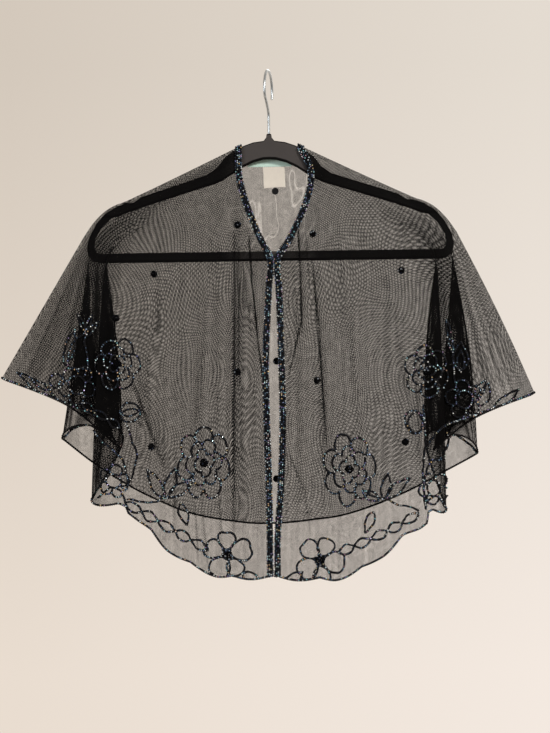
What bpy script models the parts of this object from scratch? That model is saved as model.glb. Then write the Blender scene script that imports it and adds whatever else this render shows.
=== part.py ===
"""Sheer capelet with an open front, hung on a slim hanger.

Sizes are in millimetres and become metres when a mesh is made. +X is to the right of someone who
faces the open front, +Y runs from the front to the back and +Z is up. The origin is the inner top
of the hanger's hook, where the hook sits on what holds it.
"""
import math
from collections import namedtuple

import bmesh
import bpy
from mathutils import Vector

MM = 0.001

# Driving sizes
SEAM_GAP = 0.3
CLOTH_WALL = 1.0
CLOTH_TO_HANGER = 4.7
BAND_WIDTH = 7.5
BAND_THICKNESS = 2.0
LABEL_THICKNESS = 1.0
SCALLOP_DEPTH = 4.0
SCALLOPS_ON_A_FRONT = 5
NECK_STATIONS = 20
UPPER_EDGE_STATIONS = 8
LOWER_EDGE_STATIONS = 16
BACK_STATIONS = 26
# Where the band of an open front edge is joined, as a share of that edge from the V point down
EDGE_JOIN = 0.32

# Hanger
HANGER_THICKNESS = 5.5
HANGER_EDGE_ROUNDING = 1.4
HANGER_TOP_Z = -75.0
HANGER_TOP_AT_NECK_Z = -91.9
HANGER_SLOPE_AT_NECK = 0.42
HOOK_WIRE = 3.5
HOOK_LOOP_RADIUS = 23.75
HOOK_STEM_TOP_Z = -50.0
HOOK_TURN_DEG = 79.0

# Rows of the cloth: from the neck to the point where the cloth falls free of the hanger's end,
# and from there to the hem
ROWS_OVER_ARM = 8
ROWS_BELOW = 11
FALL_AT = 0.42
FALL_ROUNDING = 0.03
LATE_STAND_OFF = 2.2
NECK_FIT = 0.15
# Beside the band, the cloth starts this far from the band's middle line
BAND_TO_CLOTH = BAND_WIDTH / 2 + SEAM_GAP * 1.8
# How roundly the cloth turns at the shoulder ridge and at its other folds: a depth slope in steps
RIDGE_ROUNDNESS = 2.1
FOLD_ROUNDNESS = 3.0

# The shoulder ridge over one arm of the hanger: across and height, neck to arm's end.
# The cloth is taut from the neck to the notch, then bends over the rounded end.
RIDGE = [(41.4, -91.2), (107.0, -122.6), (174.4, -154.0), (188.0, -158.9), (200.8, -166.4), (214.4, -180.0),
         (226.0, -196.6)]

# Middle line of the beaded band, from the shoulder down the neck edge to the V point: across, height
LEFT_NECK = [(-37.1, -94.1), (-36.9, -124.4), (-30.1, -154.8), (-20.7, -181.6), (-10.9, -204.8),
             (-0.2, -228.0)]
RIGHT_NECK = [(38.6, -94.1), (49.4, -118.0), (49.0, -140.0), (38.8, -171.5), (22.6, -204.0), (8.2, -228.0)]
# and from there down the open front edge to the hem
LEFT_EDGE = [(-2.6, -262.0), (-7.6, -350.0), (-7.4, -411.0), (-5.8, -500.0), (-5.4, -560.0), (-5.6, -609.0)]
RIGHT_EDGE = [(9.4, -262.0), (11.4, -350.0), (11.9, -425.0), (8.8, -500.0), (3.8, -560.0), (3.0, -609.0)]
# Middle line of the band round the back of the neck: across, depth, height
BACK_NECK = [(-37.1, 5.2, -94.1), (-35.4, 6.0, -98.2), (-30.0, 8.2, -99.6), (-15.0, 9.2, -98.4),
             (0.0, 9.4, -97.6), (15.0, 9.2, -98.4), (31.0, 8.2, -99.6), (36.8, 6.0, -98.2),
             (38.6, 5.2, -94.1)]

# One row for each line of the cloth that runs from the neck to the hem.
# neck: share of the panel's neck edge, from the shoulder
# fall_*: where the line leaves the hanger's end or simply its middle
# arc: how far the upper run bends with the ridge, 1 is just like it
# hem_*: its end at the hem; bow: how far the lower run bulges to the right
# fold: the cloth turns back on itself there; columns: mesh columns to the next row
Line = namedtuple("Line", "name neck fall_x fall_y fall_z arc hem_x hem_y hem_z bow fold columns")
LEFT_BACK = [
    Line("ridge", 0.00, -226.0, 0.0, -196.6, 1.0, -327.9, 0.0, -366.5, 0.0, True, 3),
    Line("ridge back", 0.02, -225.0, 4.7, -200.6, 1.0, -323.5, 4.8, -369.0, 0.0, False, 3),
    Line("wing back", 0.05, -223.4, 5.6, -214.0, 1.0, -250.0, 6.5, -401.0, 0.0, False, 4),
    Line("inner fold", 0.08, -221.4, 9.0, -222.0, 1.0, -192.0, 13.5, -450.0, -9.0, True, 6),
    Line("back flute", 0.11, -221.4, 12.4, -223.0, 1.0, -257.8, 21.5, -442.0, 0.0, True, 5),
    Line("side back", 0.17, -172.0, 15.2, -265.0, 0.6, -219.0, 28.5, -473.5, 0.0, False, 3),
    Line("back quarter", 0.27, -110.0, 14.6, -300.0, 0.2, -160.0, 31.0, -510.5, 0.0, False, 4),
    Line("back inner", 0.38, -52.0, 13.6, -315.0, 0.0, -85.0, 32.0, -540.5, 0.0, False, 4),
    Line("back middle", 0.50, 0.0, 13.0, -320.0, 0.0, -7.7, 32.0, -549.8, 0.0, False, 4),
]
RIGHT_BACK = [
    Line("back inner", 0.38, 50.0, 13.6, -315.0, 0.0, 70.0, 32.0, -543.5, 0.0, False, 4),
    Line("back quarter", 0.27, 108.0, 14.6, -300.0, 0.2, 150.0, 31.0, -518.5, 0.0, False, 3),
    Line("side back", 0.17, 170.0, 15.2, -265.0, 0.6, 211.0, 28.5, -488.0, 0.0, False, 5),
    Line("back flute", 0.11, 221.4, 12.4, -223.0, 1.0, 249.7, 21.5, -466.1, 6.0, True, 6),
    Line("inner fold", 0.08, 221.4, 9.0, -222.0, 1.0, 196.0, 13.5, -462.0, 2.0, True, 4),
    Line("wing back", 0.05, 223.4, 5.6, -214.0, 1.0, 244.0, 6.5, -424.0, 0.0, False, 3),
    Line("ridge back", 0.02, 225.0, 4.7, -200.6, 1.0, 313.4, 4.8, -395.7, 3.0, False, 3),
    Line("ridge", 0.00, 226.0, 0.0, -196.6, 1.0, 317.8, 0.0, -393.1, 3.0, True, 1),
]
LEFT_FRONT = [
    Line("ridge", 0.00, -226.0, 0.0, -196.6, 1.0, -327.9, 0.0, -366.5, 0.0, True, 3),
    Line("ridge front", 0.012, -225.0, -4.7, -200.6, 1.0, -323.5, -4.8, -369.0, 0.0, False, 3),
    Line("wing front", 0.05, -213.0, -5.6, -216.0, 1.0, -250.0, -6.5, -398.5, 0.0, False, 4),
    Line("inner fold", 0.10, -199.0, -9.0, -226.0, 1.0, -181.0, -13.5, -442.0, 4.0, True, 6),
    Line("front flute", 0.18, -201.0, -12.4, -232.0, 1.0, -219.4, -21.5, -514.8, -2.0, True, 4),
    Line("side front", 0.32, -160.0, -15.2, -290.0, 0.6, -176.0, -27.5, -521.0, 0.0, False, 5),
    Line("front quarter", 0.52, -112.0, -14.6, -335.0, 0.2, -126.0, -30.5, -574.0, 0.0, False, 6),
    Line("front inner", 0.76, -58.0, -13.6, -385.0, 0.0, -62.0, -32.5, -606.0, 0.0, False, 6),
    Line("front edge", 1.00, -7.0, -13.0, -425.0, 0.0, -9.4, -34.0, -612.0, 0.0, False, 1),
]
RIGHT_FRONT = [
    Line("ridge", 0.00, 226.0, 0.0, -196.6, 1.0, 317.8, 0.0, -393.1, 3.0, True, 3),
    Line("ridge front", 0.012, 225.0, -4.7, -200.6, 1.0, 313.4, -4.8, -395.7, 3.0, False, 3),
    Line("wing front", 0.05, 213.0, -5.6, -216.0, 1.0, 249.0, -6.5, -418.5, 0.0, False, 4),
    Line("inner fold", 0.10, 200.5, -9.0, -226.0, 1.0, 183.0, -13.5, -449.0, -6.0, True, 6),
    Line("front flute", 0.18, 201.0, -12.4, -232.0, 1.0, 207.2, -21.5, -531.4, 2.0, True, 4),
    Line("side front", 0.32, 162.0, -15.2, -290.0, 0.6, 184.0, -27.5, -532.0, 0.0, False, 5),
    Line("front quarter", 0.52, 112.0, -14.6, -335.0, 0.2, 129.0, -30.5, -584.0, 0.0, False, 6),
    Line("front inner", 0.76, 60.0, -13.6, -385.0, 0.0, 66.0, -32.5, -611.0, 0.0, False, 6),
    Line("front edge", 1.00, 11.0, -13.0, -425.0, 0.0, 6.8, -34.0, -612.0, 0.0, False, 1),
]

# Soft hanging folds: where the fold's middle starts and ends, half its width and how far it stands out.
# Those of the fronts come from the photo's shading; the back has ones like them.
Pleat = namedtuple("Pleat", "top_x top_z low_x low_z half_width rise")
FRONT_PLEATS = [
    Pleat(-38.0, -170.0, -45.0, -570.0, 11.0, 3.6),
    Pleat(-24.0, -205.0, -16.0, -400.0, 8.0, -2.6),
    Pleat(-150.0, -330.0, -132.0, -500.0, 13.0, 3.2),
    Pleat(-96.0, -300.0, -88.0, -540.0, 14.0, -2.4),
    Pleat(38.0, -185.0, 24.0, -400.0, 9.0, 3.0),
    Pleat(53.0, -215.0, 66.0, -560.0, 11.0, 3.6),
    Pleat(112.0, -320.0, 122.0, -545.0, 14.0, -2.6),
    Pleat(160.0, -330.0, 166.0, -500.0, 12.0, 3.0),
]
BACK_PLEATS = [
    Pleat(-58.0, -150.0, -92.0, -530.0, 15.0, 3.2),
    Pleat(-14.0, -200.0, -30.0, -540.0, 13.0, -2.6),
    Pleat(34.0, -170.0, 48.0, -540.0, 15.0, 3.4),
    Pleat(92.0, -200.0, 128.0, -520.0, 15.0, -2.8),
    Pleat(-118.0, -230.0, -158.0, -505.0, 14.0, -2.6),
]

# Half of the hanger, from the middle of the top to the middle of the bar:
# outer edge across and height, inner edge across and height
HANGER_HALF = [
    (2.9, -75.0, 2.0, -106.2), (3.4, -79.6, 4.0, -106.2), (6.4, -83.5, 8.0, -106.5),
    (19.4, -85.3, 20.6, -110.0), (30.7, -89.2, 33.6, -116.4), (41.0, -93.6, 44.0, -123.2),
    (54.2, -103.5, 57.0, -131.0), (62.9, -115.0, 68.0, -135.6), (75.7, -123.9, 82.0, -139.8),
    (114.7, -136.4, 114.0, -149.6), (156.0, -149.8, 148.0, -160.2), (165.9, -156.6, 166.0, -166.4),
    (174.4, -156.6, 174.5, -169.2), (187.0, -161.4, 184.0, -173.4),
    (200.0, -169.4, 191.6, -174.4), (210.5, -181.6, 203.6, -185.4), (219.3, -197.0, 211.6, -198.6),
    (222.7, -210.0, 213.2, -209.6), (220.6, -221.0, 211.6, -214.6), (215.4, -226.7, 208.8, -216.8),
    (208.0, -229.3, 204.6, -217.4), (110.0, -229.3, 110.0, -217.4), (0.0, -229.3, 0.0, -217.4),
]

# Labels: left edge, right edge, top and bottom, and the middle of their depth
NECK_LABEL = (-26.6, 26.8, -102.2, -114.4, 6.3)
CARE_LABEL = (-7.8, 18.4, -114.7, -139.6, 6.3)
TAB_RADIUS = 4.2
TAB_MIDDLE_X = 6.7

# Bead clusters: across, height and the panel that carries them
DOT_RADIUS = 3.7
DOT_RISE = 2.4
DOTS = [
    (-141.0, -243.6, "front_left"), (-187.4, -296.4, "front_left"), (-39.5, -185.3, "front_left"),
    (-41.5, -363.2, "front_left"), (-146.1, -451.5, "front_left"), (51.6, -197.2, "front_right"),
    (157.7, -243.2, "front_right"), (54.2, -374.6, "front_right"), (159.0, -450.0, "front_right"),
    (5.6, -350.6, "back"), (3.6, -495.0, "back"),
]


def clear_scene():
    for thing in list(bpy.data.objects):
        bpy.data.objects.remove(thing, do_unlink=True)


def finish(name, colour, roughness, metallic):
    """A plain material for one sub-part."""
    material = bpy.data.materials.new(name)
    material.use_nodes = True
    shader = material.node_tree.nodes["Principled BSDF"]
    shader.inputs["Base Color"].default_value = (*colour, 1.0)
    shader.inputs["Roughness"].default_value = roughness
    shader.inputs["Metallic"].default_value = metallic
    return material


def add_object(name, bm, material, smooth_angle=None):
    """Turn a bmesh into a named object, with its faces pointing out."""
    bmesh.ops.recalc_face_normals(bm, faces=bm.faces)
    mesh = bpy.data.meshes.new(name)
    bm.to_mesh(mesh)
    bm.free()
    mesh.materials.append(material)
    if smooth_angle is not None:
        mesh.shade_smooth()
        mesh.set_sharp_from_angle(angle=math.radians(smooth_angle))
    thing = bpy.data.objects.new(name, mesh)
    bpy.context.scene.collection.objects.link(thing)
    return thing


def hermite(start, start_slope, end, end_slope, t):
    """A cubic between two values or vectors with the given slopes."""
    return (start * (2 * t ** 3 - 3 * t ** 2 + 1) + start_slope * (t ** 3 - 2 * t ** 2 + t)
            + end * (3 * t ** 2 - 2 * t ** 3) + end_slope * (t ** 3 - t ** 2))


def smooth_path(points, t):
    """A point on the smooth curve through points, t running from 0 to 1 by length."""
    knots = [Vector(p) for p in points]
    reach = [0.0]
    for before, after in zip(knots, knots[1:]):
        reach.append(reach[-1] + (after - before).length)
    place = min(max(t, 0.0), 1.0) * reach[-1]
    i = max(k for k in range(len(knots) - 1) if reach[k] <= place)
    span = reach[i + 1] - reach[i]

    def slope(k):
        low = max(k - 1, 0)
        high = min(k + 1, len(knots) - 1)
        return (knots[high] - knots[low]) * (span / (reach[high] - reach[low]))

    return hermite(knots[i], slope(i), knots[i + 1], slope(i + 1), (place - reach[i]) / span)


def monotone_slope(before, after):
    """A slope that never makes the curve overshoot its knots."""
    if before * after <= 0:
        return 0.0
    return 2.0 * before * after / (before + after)


def shift_aside(points, t, distance):
    """A point beside a flat path, distance to the left of its direction."""
    step = 0.01
    ahead = smooth_path(points, t + step) - smooth_path(points, t - step)
    ahead.normalize()
    here = smooth_path(points, t)
    return here + Vector((-ahead[1], ahead[0])) * distance


def band_path(side):
    """The middle line of a front's band below the shoulder, its share above the V point, and a seam gap's."""
    neck, edge = (LEFT_NECK, LEFT_EDGE) if side < 0 else (RIGHT_NECK, RIGHT_EDGE)
    path = neck + edge
    lengths = [math.dist(a, b) for a, b in zip(path, path[1:])]
    return path, sum(lengths[:len(neck) - 1]) / sum(lengths), SEAM_GAP / sum(lengths)


def neck_point(side, half, share):
    """Where a line of the cloth starts: beside the band, its width and the seam gap away."""
    path, neck_share, gap_share = band_path(side)
    if share == 0.0:
        return Vector((path[0][0] + side * (BAND_TO_CLOTH + SEAM_GAP), 0.0, RIDGE[0][1]))
    if half == "front":
        flat = shift_aside(path, share * neck_share, BAND_TO_CLOTH * side)
        return Vector((flat[0], -CLOTH_TO_HANGER, flat[1]))
    place = share if side < 0 else 1.0 - share
    middle = smooth_path(BACK_NECK, place)
    flat_path = [(x, z) for x, y, z in BACK_NECK]
    flat = shift_aside(flat_path, place, -BAND_TO_CLOTH)
    return Vector((flat[0], middle[1], flat[1]))


def ridge_bend(side, t):
    """How far the ridge leaves the straight line from its start to its end."""
    flat = smooth_path(RIDGE, t) - Vector(RIDGE[0]).lerp(Vector(RIDGE[-1]), t)
    return Vector((side * flat[0], 0.0, flat[1]))


def upper_run(side, half, line, t):
    """The stretch from the neck to the fall point, t from 0 to 1."""
    neck = neck_point(side, half, line.neck)
    fall = Vector((line.fall_x, line.fall_y, line.fall_z))
    place = neck.lerp(fall, t) + ridge_bend(side, t) * line.arc
    place.y = neck.y + (fall.y - neck.y) * t ** LATE_STAND_OFF
    return place


def lower_run(line, t):
    """The stretch from the fall point to the hem, t from 0 to 1."""
    fall = Vector((line.fall_x, line.fall_y, line.fall_z))
    hem = Vector((line.hem_x, line.hem_y, line.hem_z))
    return fall.lerp(hem, t) + Vector((line.bow * math.sin(math.pi * t), 0.0, 0.0))


def open_edge(side, line, v):
    """The cloth's edge beside the band of an open front."""
    path, neck_share, gap_share = band_path(side)
    flat = shift_aside(path, neck_share + (1 - neck_share) * v, BAND_TO_CLOTH * side)
    late = min(v / FALL_AT, 1.0) ** LATE_STAND_OFF
    depth = -CLOTH_TO_HANGER + (line.fall_y + CLOTH_TO_HANGER) * late
    depth += (line.hem_y - line.fall_y) * max(0.0, (v - FALL_AT) / (1 - FALL_AT))
    return Vector((flat[0], depth, flat[1]))


def line_point(side, half, line, v):
    """A point of one line, v from 0 at the neck to 1 at the hem, its bend at the fall point rounded."""
    if line.name == "front edge":
        return open_edge(side, line, v)
    reach = 0.0 if line.name.startswith("ridge") else FALL_ROUNDING
    if abs(v - FALL_AT) < reach:
        start = upper_run(side, half, line, (FALL_AT - reach) / FALL_AT)
        middle = upper_run(side, half, line, 1.0)
        end = lower_run(line, reach / (1 - FALL_AT))
        t = (v - FALL_AT + reach) / (2 * reach)
        return start.lerp(middle, t).lerp(middle.lerp(end, t), t)
    if v < FALL_AT:
        return upper_run(side, half, line, v / FALL_AT)
    return lower_run(line, (v - FALL_AT) / (1 - FALL_AT))


def pleat_rise(pleats, x, z):
    """How far the soft folds push the cloth outwards at one place."""
    total = 0.0
    for pleat in pleats:
        down = (pleat.top_z - z) / (pleat.top_z - pleat.low_z)
        if down <= 0.0:
            continue
        middle = pleat.top_x + (pleat.low_x - pleat.top_x) * min(down, 1.3)
        off = (x - middle) / (pleat.half_width * (0.6 + 0.5 * min(down, 1.3)))
        total += pleat.rise * math.exp(-off * off) * min(1.0, down * 2.5)
    return total


def closer_at_folds(t, fold_before, fold_after):
    """Spaces mesh columns closer where the cloth turns back on itself."""
    if fold_before and fold_after:
        return (1 - math.cos(math.pi * t)) / 2
    if fold_before:
        return 1 - math.cos(math.pi / 2 * t)
    if fold_after:
        return math.sin(math.pi / 2 * t)
    return t


class Panel:
    """The middle surface of one piece of cloth, from its lines."""

    def __init__(self, halves, pleats, pleat_side):
        self.lines = [line for side, half, lines in halves for line in lines]
        self.halves = [(side, half) for side, half, lines in halves for line in lines]
        self.pleats = pleats
        self.pleat_side = pleat_side
        self.columns = [line.columns for line in self.lines[:-1]]

    def at(self, u, v):
        """A point of the cloth: u counts the lines, v runs from the neck to the hem."""
        last = len(self.lines) - 1
        i = min(int(u), last - 1)
        near = range(max(i - 1, 0), min(i + 3, last + 1))
        points = {k: line_point(*self.halves[k], self.lines[k], v) for k in near}
        t = u - i
        place = Vector()
        for axis in range(3):
            steps = {k: points[k + 1][axis] - points[k][axis] for k in near if k + 1 in points}
            slopes = []
            for k in (i, i + 1):
                before = steps.get(k - 1, steps.get(k))
                after = steps.get(k, steps.get(k - 1))
                slope = monotone_slope(before, after)
                if axis == 1 and self.lines[k].fold:
                    roundness = RIDGE_ROUNDNESS
                    if self.lines[k].name != "ridge":
                        roundness = 1.0 + (FOLD_ROUNDNESS - 1.0) * min(v / FALL_AT, 1.0) ** 2
                    slope = math.copysign(min(abs(before), abs(after)) * roundness, before + after)
                slopes.append(slope)
            place[axis] = hermite(points[i][axis], slopes[0], points[i + 1][axis], slopes[1], t)
        if v < NECK_FIT:
            place += self.neck_gap(i, t) * (1 - v / NECK_FIT) ** 2
        place.y += self.pleat_side * pleat_rise(self.pleats, place.x, place.z)
        place.z -= self.scallop(u, v)
        return place

    def neck_gap(self, i, t):
        """How far the lines alone would miss the curved neck edge between line i and the next."""
        first, second = self.lines[i], self.lines[i + 1]
        if "ridge" in (first.name, second.name):
            return Vector()
        side, half = self.halves[i] if first.name != "back middle" else self.halves[i + 1]
        share = first.neck + (second.neck - first.neck) * t
        straight = neck_point(side, half, first.neck).lerp(neck_point(side, half, second.neck), t)
        return neck_point(side, half, share) - straight

    def scallop(self, u, v):
        """Depth of the hem's rounded tongues, on a front between its flute and its open edge."""
        names = [line.name for line in self.lines]
        if "front flute" not in names or v < 0.9:
            return 0.0
        first = names.index("front flute")
        along = (u - first) / (len(names) - 1 - first)
        if along <= 0.0:
            return 0.0
        return SCALLOP_DEPTH * abs(math.sin(math.pi * SCALLOPS_ON_A_FRONT * along)) * (v - 0.9) / 0.1

    def column_places(self, seam_start, seam_end):
        """The u of each mesh column, drawn in a little where another piece is sewn on."""
        places = []
        for i, count in enumerate(self.columns):
            turns = self.lines[i].fold, self.lines[i + 1].fold
            places += [i + closer_at_folds(k / count, *turns) for k in range(count)]
        places.append(float(len(self.columns)))
        places[0] += seam_start
        places[-1] -= seam_end
        return places


def row_places():
    """The v of each mesh row, closer together where the cloth bends over the hanger's end."""
    rows = [FALL_AT * (1 - (1 - k / ROWS_OVER_ARM) ** 1.6) for k in range(ROWS_OVER_ARM)]
    return rows + [FALL_AT + (1 - FALL_AT) * k / ROWS_BELOW for k in range(ROWS_BELOW + 1)]


def cloth_object(name, panel, material, seam_start, seam_end):
    """A cloth panel: a grid laid on its middle surface, given its wall by Solidify."""
    places = panel.column_places(seam_start, seam_end)
    rows = row_places()
    bm = bmesh.new()
    bmesh.ops.create_grid(bm, x_segments=len(places) - 1, y_segments=len(rows) - 1, size=0.5)
    for vertex in bm.verts:
        column = round((vertex.co.x + 0.5) * (len(places) - 1))
        row = round((vertex.co.y + 0.5) * (len(rows) - 1))
        vertex.co = panel.at(places[column], rows[row]) * MM
    thing = add_object(name, bm, material)
    wall = thing.modifiers.new("wall", "SOLIDIFY")
    wall.thickness = CLOTH_WALL * MM
    wall.offset = 0.0
    return thing


def strip_object(name, stations, material):
    """A closed strip through stations of middle point, across direction and outward direction."""
    bm = bmesh.new()
    rings = []
    for middle, across, outward in stations:
        side = across.normalized() * BAND_WIDTH / 2
        out = outward.normalized() * BAND_THICKNESS / 2
        corners = (middle - side - out, middle + side - out, middle + side + out, middle - side + out)
        rings.append([bm.verts.new(corner * MM) for corner in corners])
    for ring, following in zip(rings, rings[1:]):
        for k in range(4):
            bm.faces.new((ring[k], ring[(k + 1) % 4], following[(k + 1) % 4], following[k]))
    bm.faces.new(rings[0])
    bm.faces.new(rings[-1])
    return add_object(name, bm, material)


def over_the_arm(middle_x, turn_side):
    """Band stations from the seam on top of the hanger's arm down to the front or the back."""
    radius = CLOTH_TO_HANGER + 0.5
    slope = -HANGER_SLOPE_AT_NECK * (1 if middle_x > 0 else -1)
    crown = HANGER_TOP_AT_NECK_Z + SEAM_GAP + BAND_THICKNESS / 2 + 0.6
    stations = []
    for k in range(5):
        angle = math.asin(SEAM_GAP / 2 / radius) + math.radians(80) * k / 4
        drop = radius * (1 - math.cos(angle))
        middle = Vector((middle_x, turn_side * radius * math.sin(angle), crown - drop))
        outward = Vector((0.0, turn_side * math.sin(angle), math.cos(angle)))
        across = Vector((1.0, 0.0, slope * math.cos(angle)))
        stations.append((middle, across, outward))
    return stations


def front_band(side, first, last, count):
    """A stretch of one front's beaded band, between two shares of its path; the first goes over the arm."""
    path, neck_share, gap_share = band_path(side)
    lines = LEFT_FRONT if side < 0 else RIGHT_FRONT
    top = -CLOTH_TO_HANGER - 0.5
    stations = []
    if first == 0.0:
        stations = over_the_arm(path[0][0], -1)
        first = last / count
        count -= 1
    for k in range(count + 1):
        share = first + (last - first) * k / count
        flat = smooth_path(path, share)
        beside = shift_aside(path, share, 1.0) - flat
        down_edge = (share - neck_share) / (1 - neck_share)
        depth = min(top, open_edge(side, lines[-1], max(down_edge, 0.0)).y)
        across = Vector((beside[0], 0.0, beside[1]))
        stations.append((Vector((flat[0], depth, flat[1])), across, Vector((0.0, -1.0, 0.0))))
    return stations


def back_band():
    """The band round the back of the neck, from one shoulder to the other."""
    stations = over_the_arm(BACK_NECK[0][0], 1)
    flat_path = [(x, z) for x, y, z in BACK_NECK]
    for k in range(1, BACK_STATIONS):
        share = k / BACK_STATIONS
        flat = smooth_path(flat_path, share)
        beside = shift_aside(flat_path, share, 1.0) - flat
        depth = smooth_path(BACK_NECK, share)[1]
        across = Vector((beside[0], 0.0, beside[1]))
        stations.append((Vector((flat[0], depth, flat[1])), across, Vector((0.0, 1.0, 0.0))))
    for middle, across, outward in reversed(over_the_arm(BACK_NECK[-1][0], 1)):
        stations.append((middle, -across, outward))
    return stations


def hanger_frame(material):
    """The flat frame with its window, mirrored from one half and rounded along its edges."""
    right = HANGER_HALF
    left = [(-ox, oz, -ix, iz) for ox, oz, ix, iz in reversed(HANGER_HALF[:-1])]
    outline = right + left
    half = HANGER_THICKNESS / 2
    bm = bmesh.new()
    rings = []
    for outer_x, outer_z, inner_x, inner_z in outline:
        corners = ((outer_x, -half, outer_z), (outer_x, half, outer_z),
                   (inner_x, half, inner_z), (inner_x, -half, inner_z))
        rings.append([bm.verts.new(Vector(corner) * MM) for corner in corners])
    for ring, following in zip(rings, rings[1:] + rings[:1]):
        for k in range(4):
            bm.faces.new((ring[k], ring[(k + 1) % 4], following[(k + 1) % 4], following[k]))
    thing = add_object("hanger_frame", bm, material, smooth_angle=35)
    rounding = thing.modifiers.new("rounded edges", "BEVEL")
    rounding.width = HANGER_EDGE_ROUNDING * MM
    rounding.segments = 2
    rounding.limit_method = "ANGLE"
    rounding.angle_limit = math.radians(60)
    return thing


def hanger_hook(material):
    """The wire hook: a stem that swings out into a loop, seen nearly edge on."""
    centre_z = HOOK_WIRE / 2 - HOOK_LOOP_RADIUS
    flat = [(0.0, HANGER_TOP_Z + SEAM_GAP), (0.0, HOOK_STEM_TOP_Z - 10), (-1.0, HOOK_STEM_TOP_Z),
            (-11.0, -39.5)]
    for k in range(13):
        angle = math.radians(200 - 222 * k / 12)
        flat.append((HOOK_LOOP_RADIUS * math.cos(angle), centre_z + HOOK_LOOP_RADIUS * math.sin(angle)))
    turn = math.radians(HOOK_TURN_DEG)
    wire = bpy.data.curves.new("hanger_hook", "CURVE")
    wire.dimensions = "3D"
    wire.bevel_depth = HOOK_WIRE / 2 * MM
    wire.bevel_resolution = 2
    wire.use_fill_caps = True
    count = 44
    spline = wire.splines.new("POLY")
    spline.points.add(count)
    for k, point in enumerate(spline.points):
        reach, height = smooth_path(flat, k / count)
        place = Vector((reach * math.cos(turn), reach * math.sin(turn), height)) * MM
        point.co = (*place, 1.0)
    wire.materials.append(material)
    thing = bpy.data.objects.new("hanger_hook", wire)
    bpy.context.scene.collection.objects.link(thing)
    return thing


def label_object(name, sizes, material):
    left, right, top, bottom, depth = sizes
    bm = bmesh.new()
    bmesh.ops.create_cube(bm, size=1.0)
    bmesh.ops.scale(bm, vec=((right - left) * MM, LABEL_THICKNESS * MM, (top - bottom) * MM), verts=bm.verts)
    middle = Vector(((left + right) / 2, depth, (top + bottom) / 2)) * MM
    bmesh.ops.translate(bm, vec=middle, verts=bm.verts)
    return add_object(name, bm, material)


def size_tab(material):
    bm = bmesh.new()
    bmesh.ops.create_cone(bm, cap_ends=True, segments=20, radius1=TAB_RADIUS * MM, radius2=TAB_RADIUS * MM,
                          depth=LABEL_THICKNESS * MM)
    for vertex in bm.verts:
        vertex.co = Vector((vertex.co.x, vertex.co.z, vertex.co.y))
    middle = Vector((TAB_MIDDLE_X, CARE_LABEL[4], CARE_LABEL[3] - SEAM_GAP - TAB_RADIUS)) * MM
    bmesh.ops.translate(bm, vec=middle, verts=bm.verts)
    return add_object("size_tab", bm, material, smooth_angle=40)


def find_on_panel(panel, x, z, first_line):
    """The place and outward direction of the cloth at one spot, looked for below the folds."""
    best = None
    steps = 60
    last = len(panel.lines) - 1
    for i in range(steps + 1):
        for j in range(steps + 1):
            u = first_line + (last - first_line) * i / steps
            point = panel.at(u, j / steps)
            gap = math.hypot(point.x - x, point.z - z)
            if best is None or gap < best[0]:
                best = (gap, u, j / steps)
    gap, u, v = best
    small = 0.02
    here = panel.at(u, v)
    along = panel.at(min(u + small, last), v) - panel.at(max(u - small, first_line), v)
    down = panel.at(u, min(v + small, 1.0)) - panel.at(u, max(v - small, 0.0))
    outward = along.cross(down).normalized()
    return here, outward


def bead_dot(name, panel, x, z, first_line, facing, material):
    """A low dome of small beads, just clear of the cloth it is sewn to."""
    here, outward = find_on_panel(panel, x, z, first_line)
    if outward.y * facing < 0:
        outward.negate()
    lift = CLOTH_WALL / 2 + SEAM_GAP
    bm = bmesh.new()
    bmesh.ops.create_uvsphere(bm, u_segments=12, v_segments=6, radius=1.0)
    cut = bmesh.ops.bisect_plane(bm, geom=bm.verts[:] + bm.edges[:] + bm.faces[:], plane_co=(0, 0, 0.2),
                                 plane_no=(0, 0, 1), clear_inner=True)
    rim = [item for item in cut["geom_cut"] if isinstance(item, bmesh.types.BMEdge)]
    bmesh.ops.contextual_create(bm, geom=rim)
    turn = Vector((0, 0, 1)).rotation_difference(outward).to_matrix()
    for vertex in bm.verts:
        rise = (vertex.co.z - 0.2) * DOT_RISE + lift
        low = Vector((vertex.co.x * DOT_RADIUS, vertex.co.y * DOT_RADIUS, rise))
        vertex.co = (turn @ low + here) * MM
    return add_object(name, bm, material, smooth_angle=50)


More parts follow.
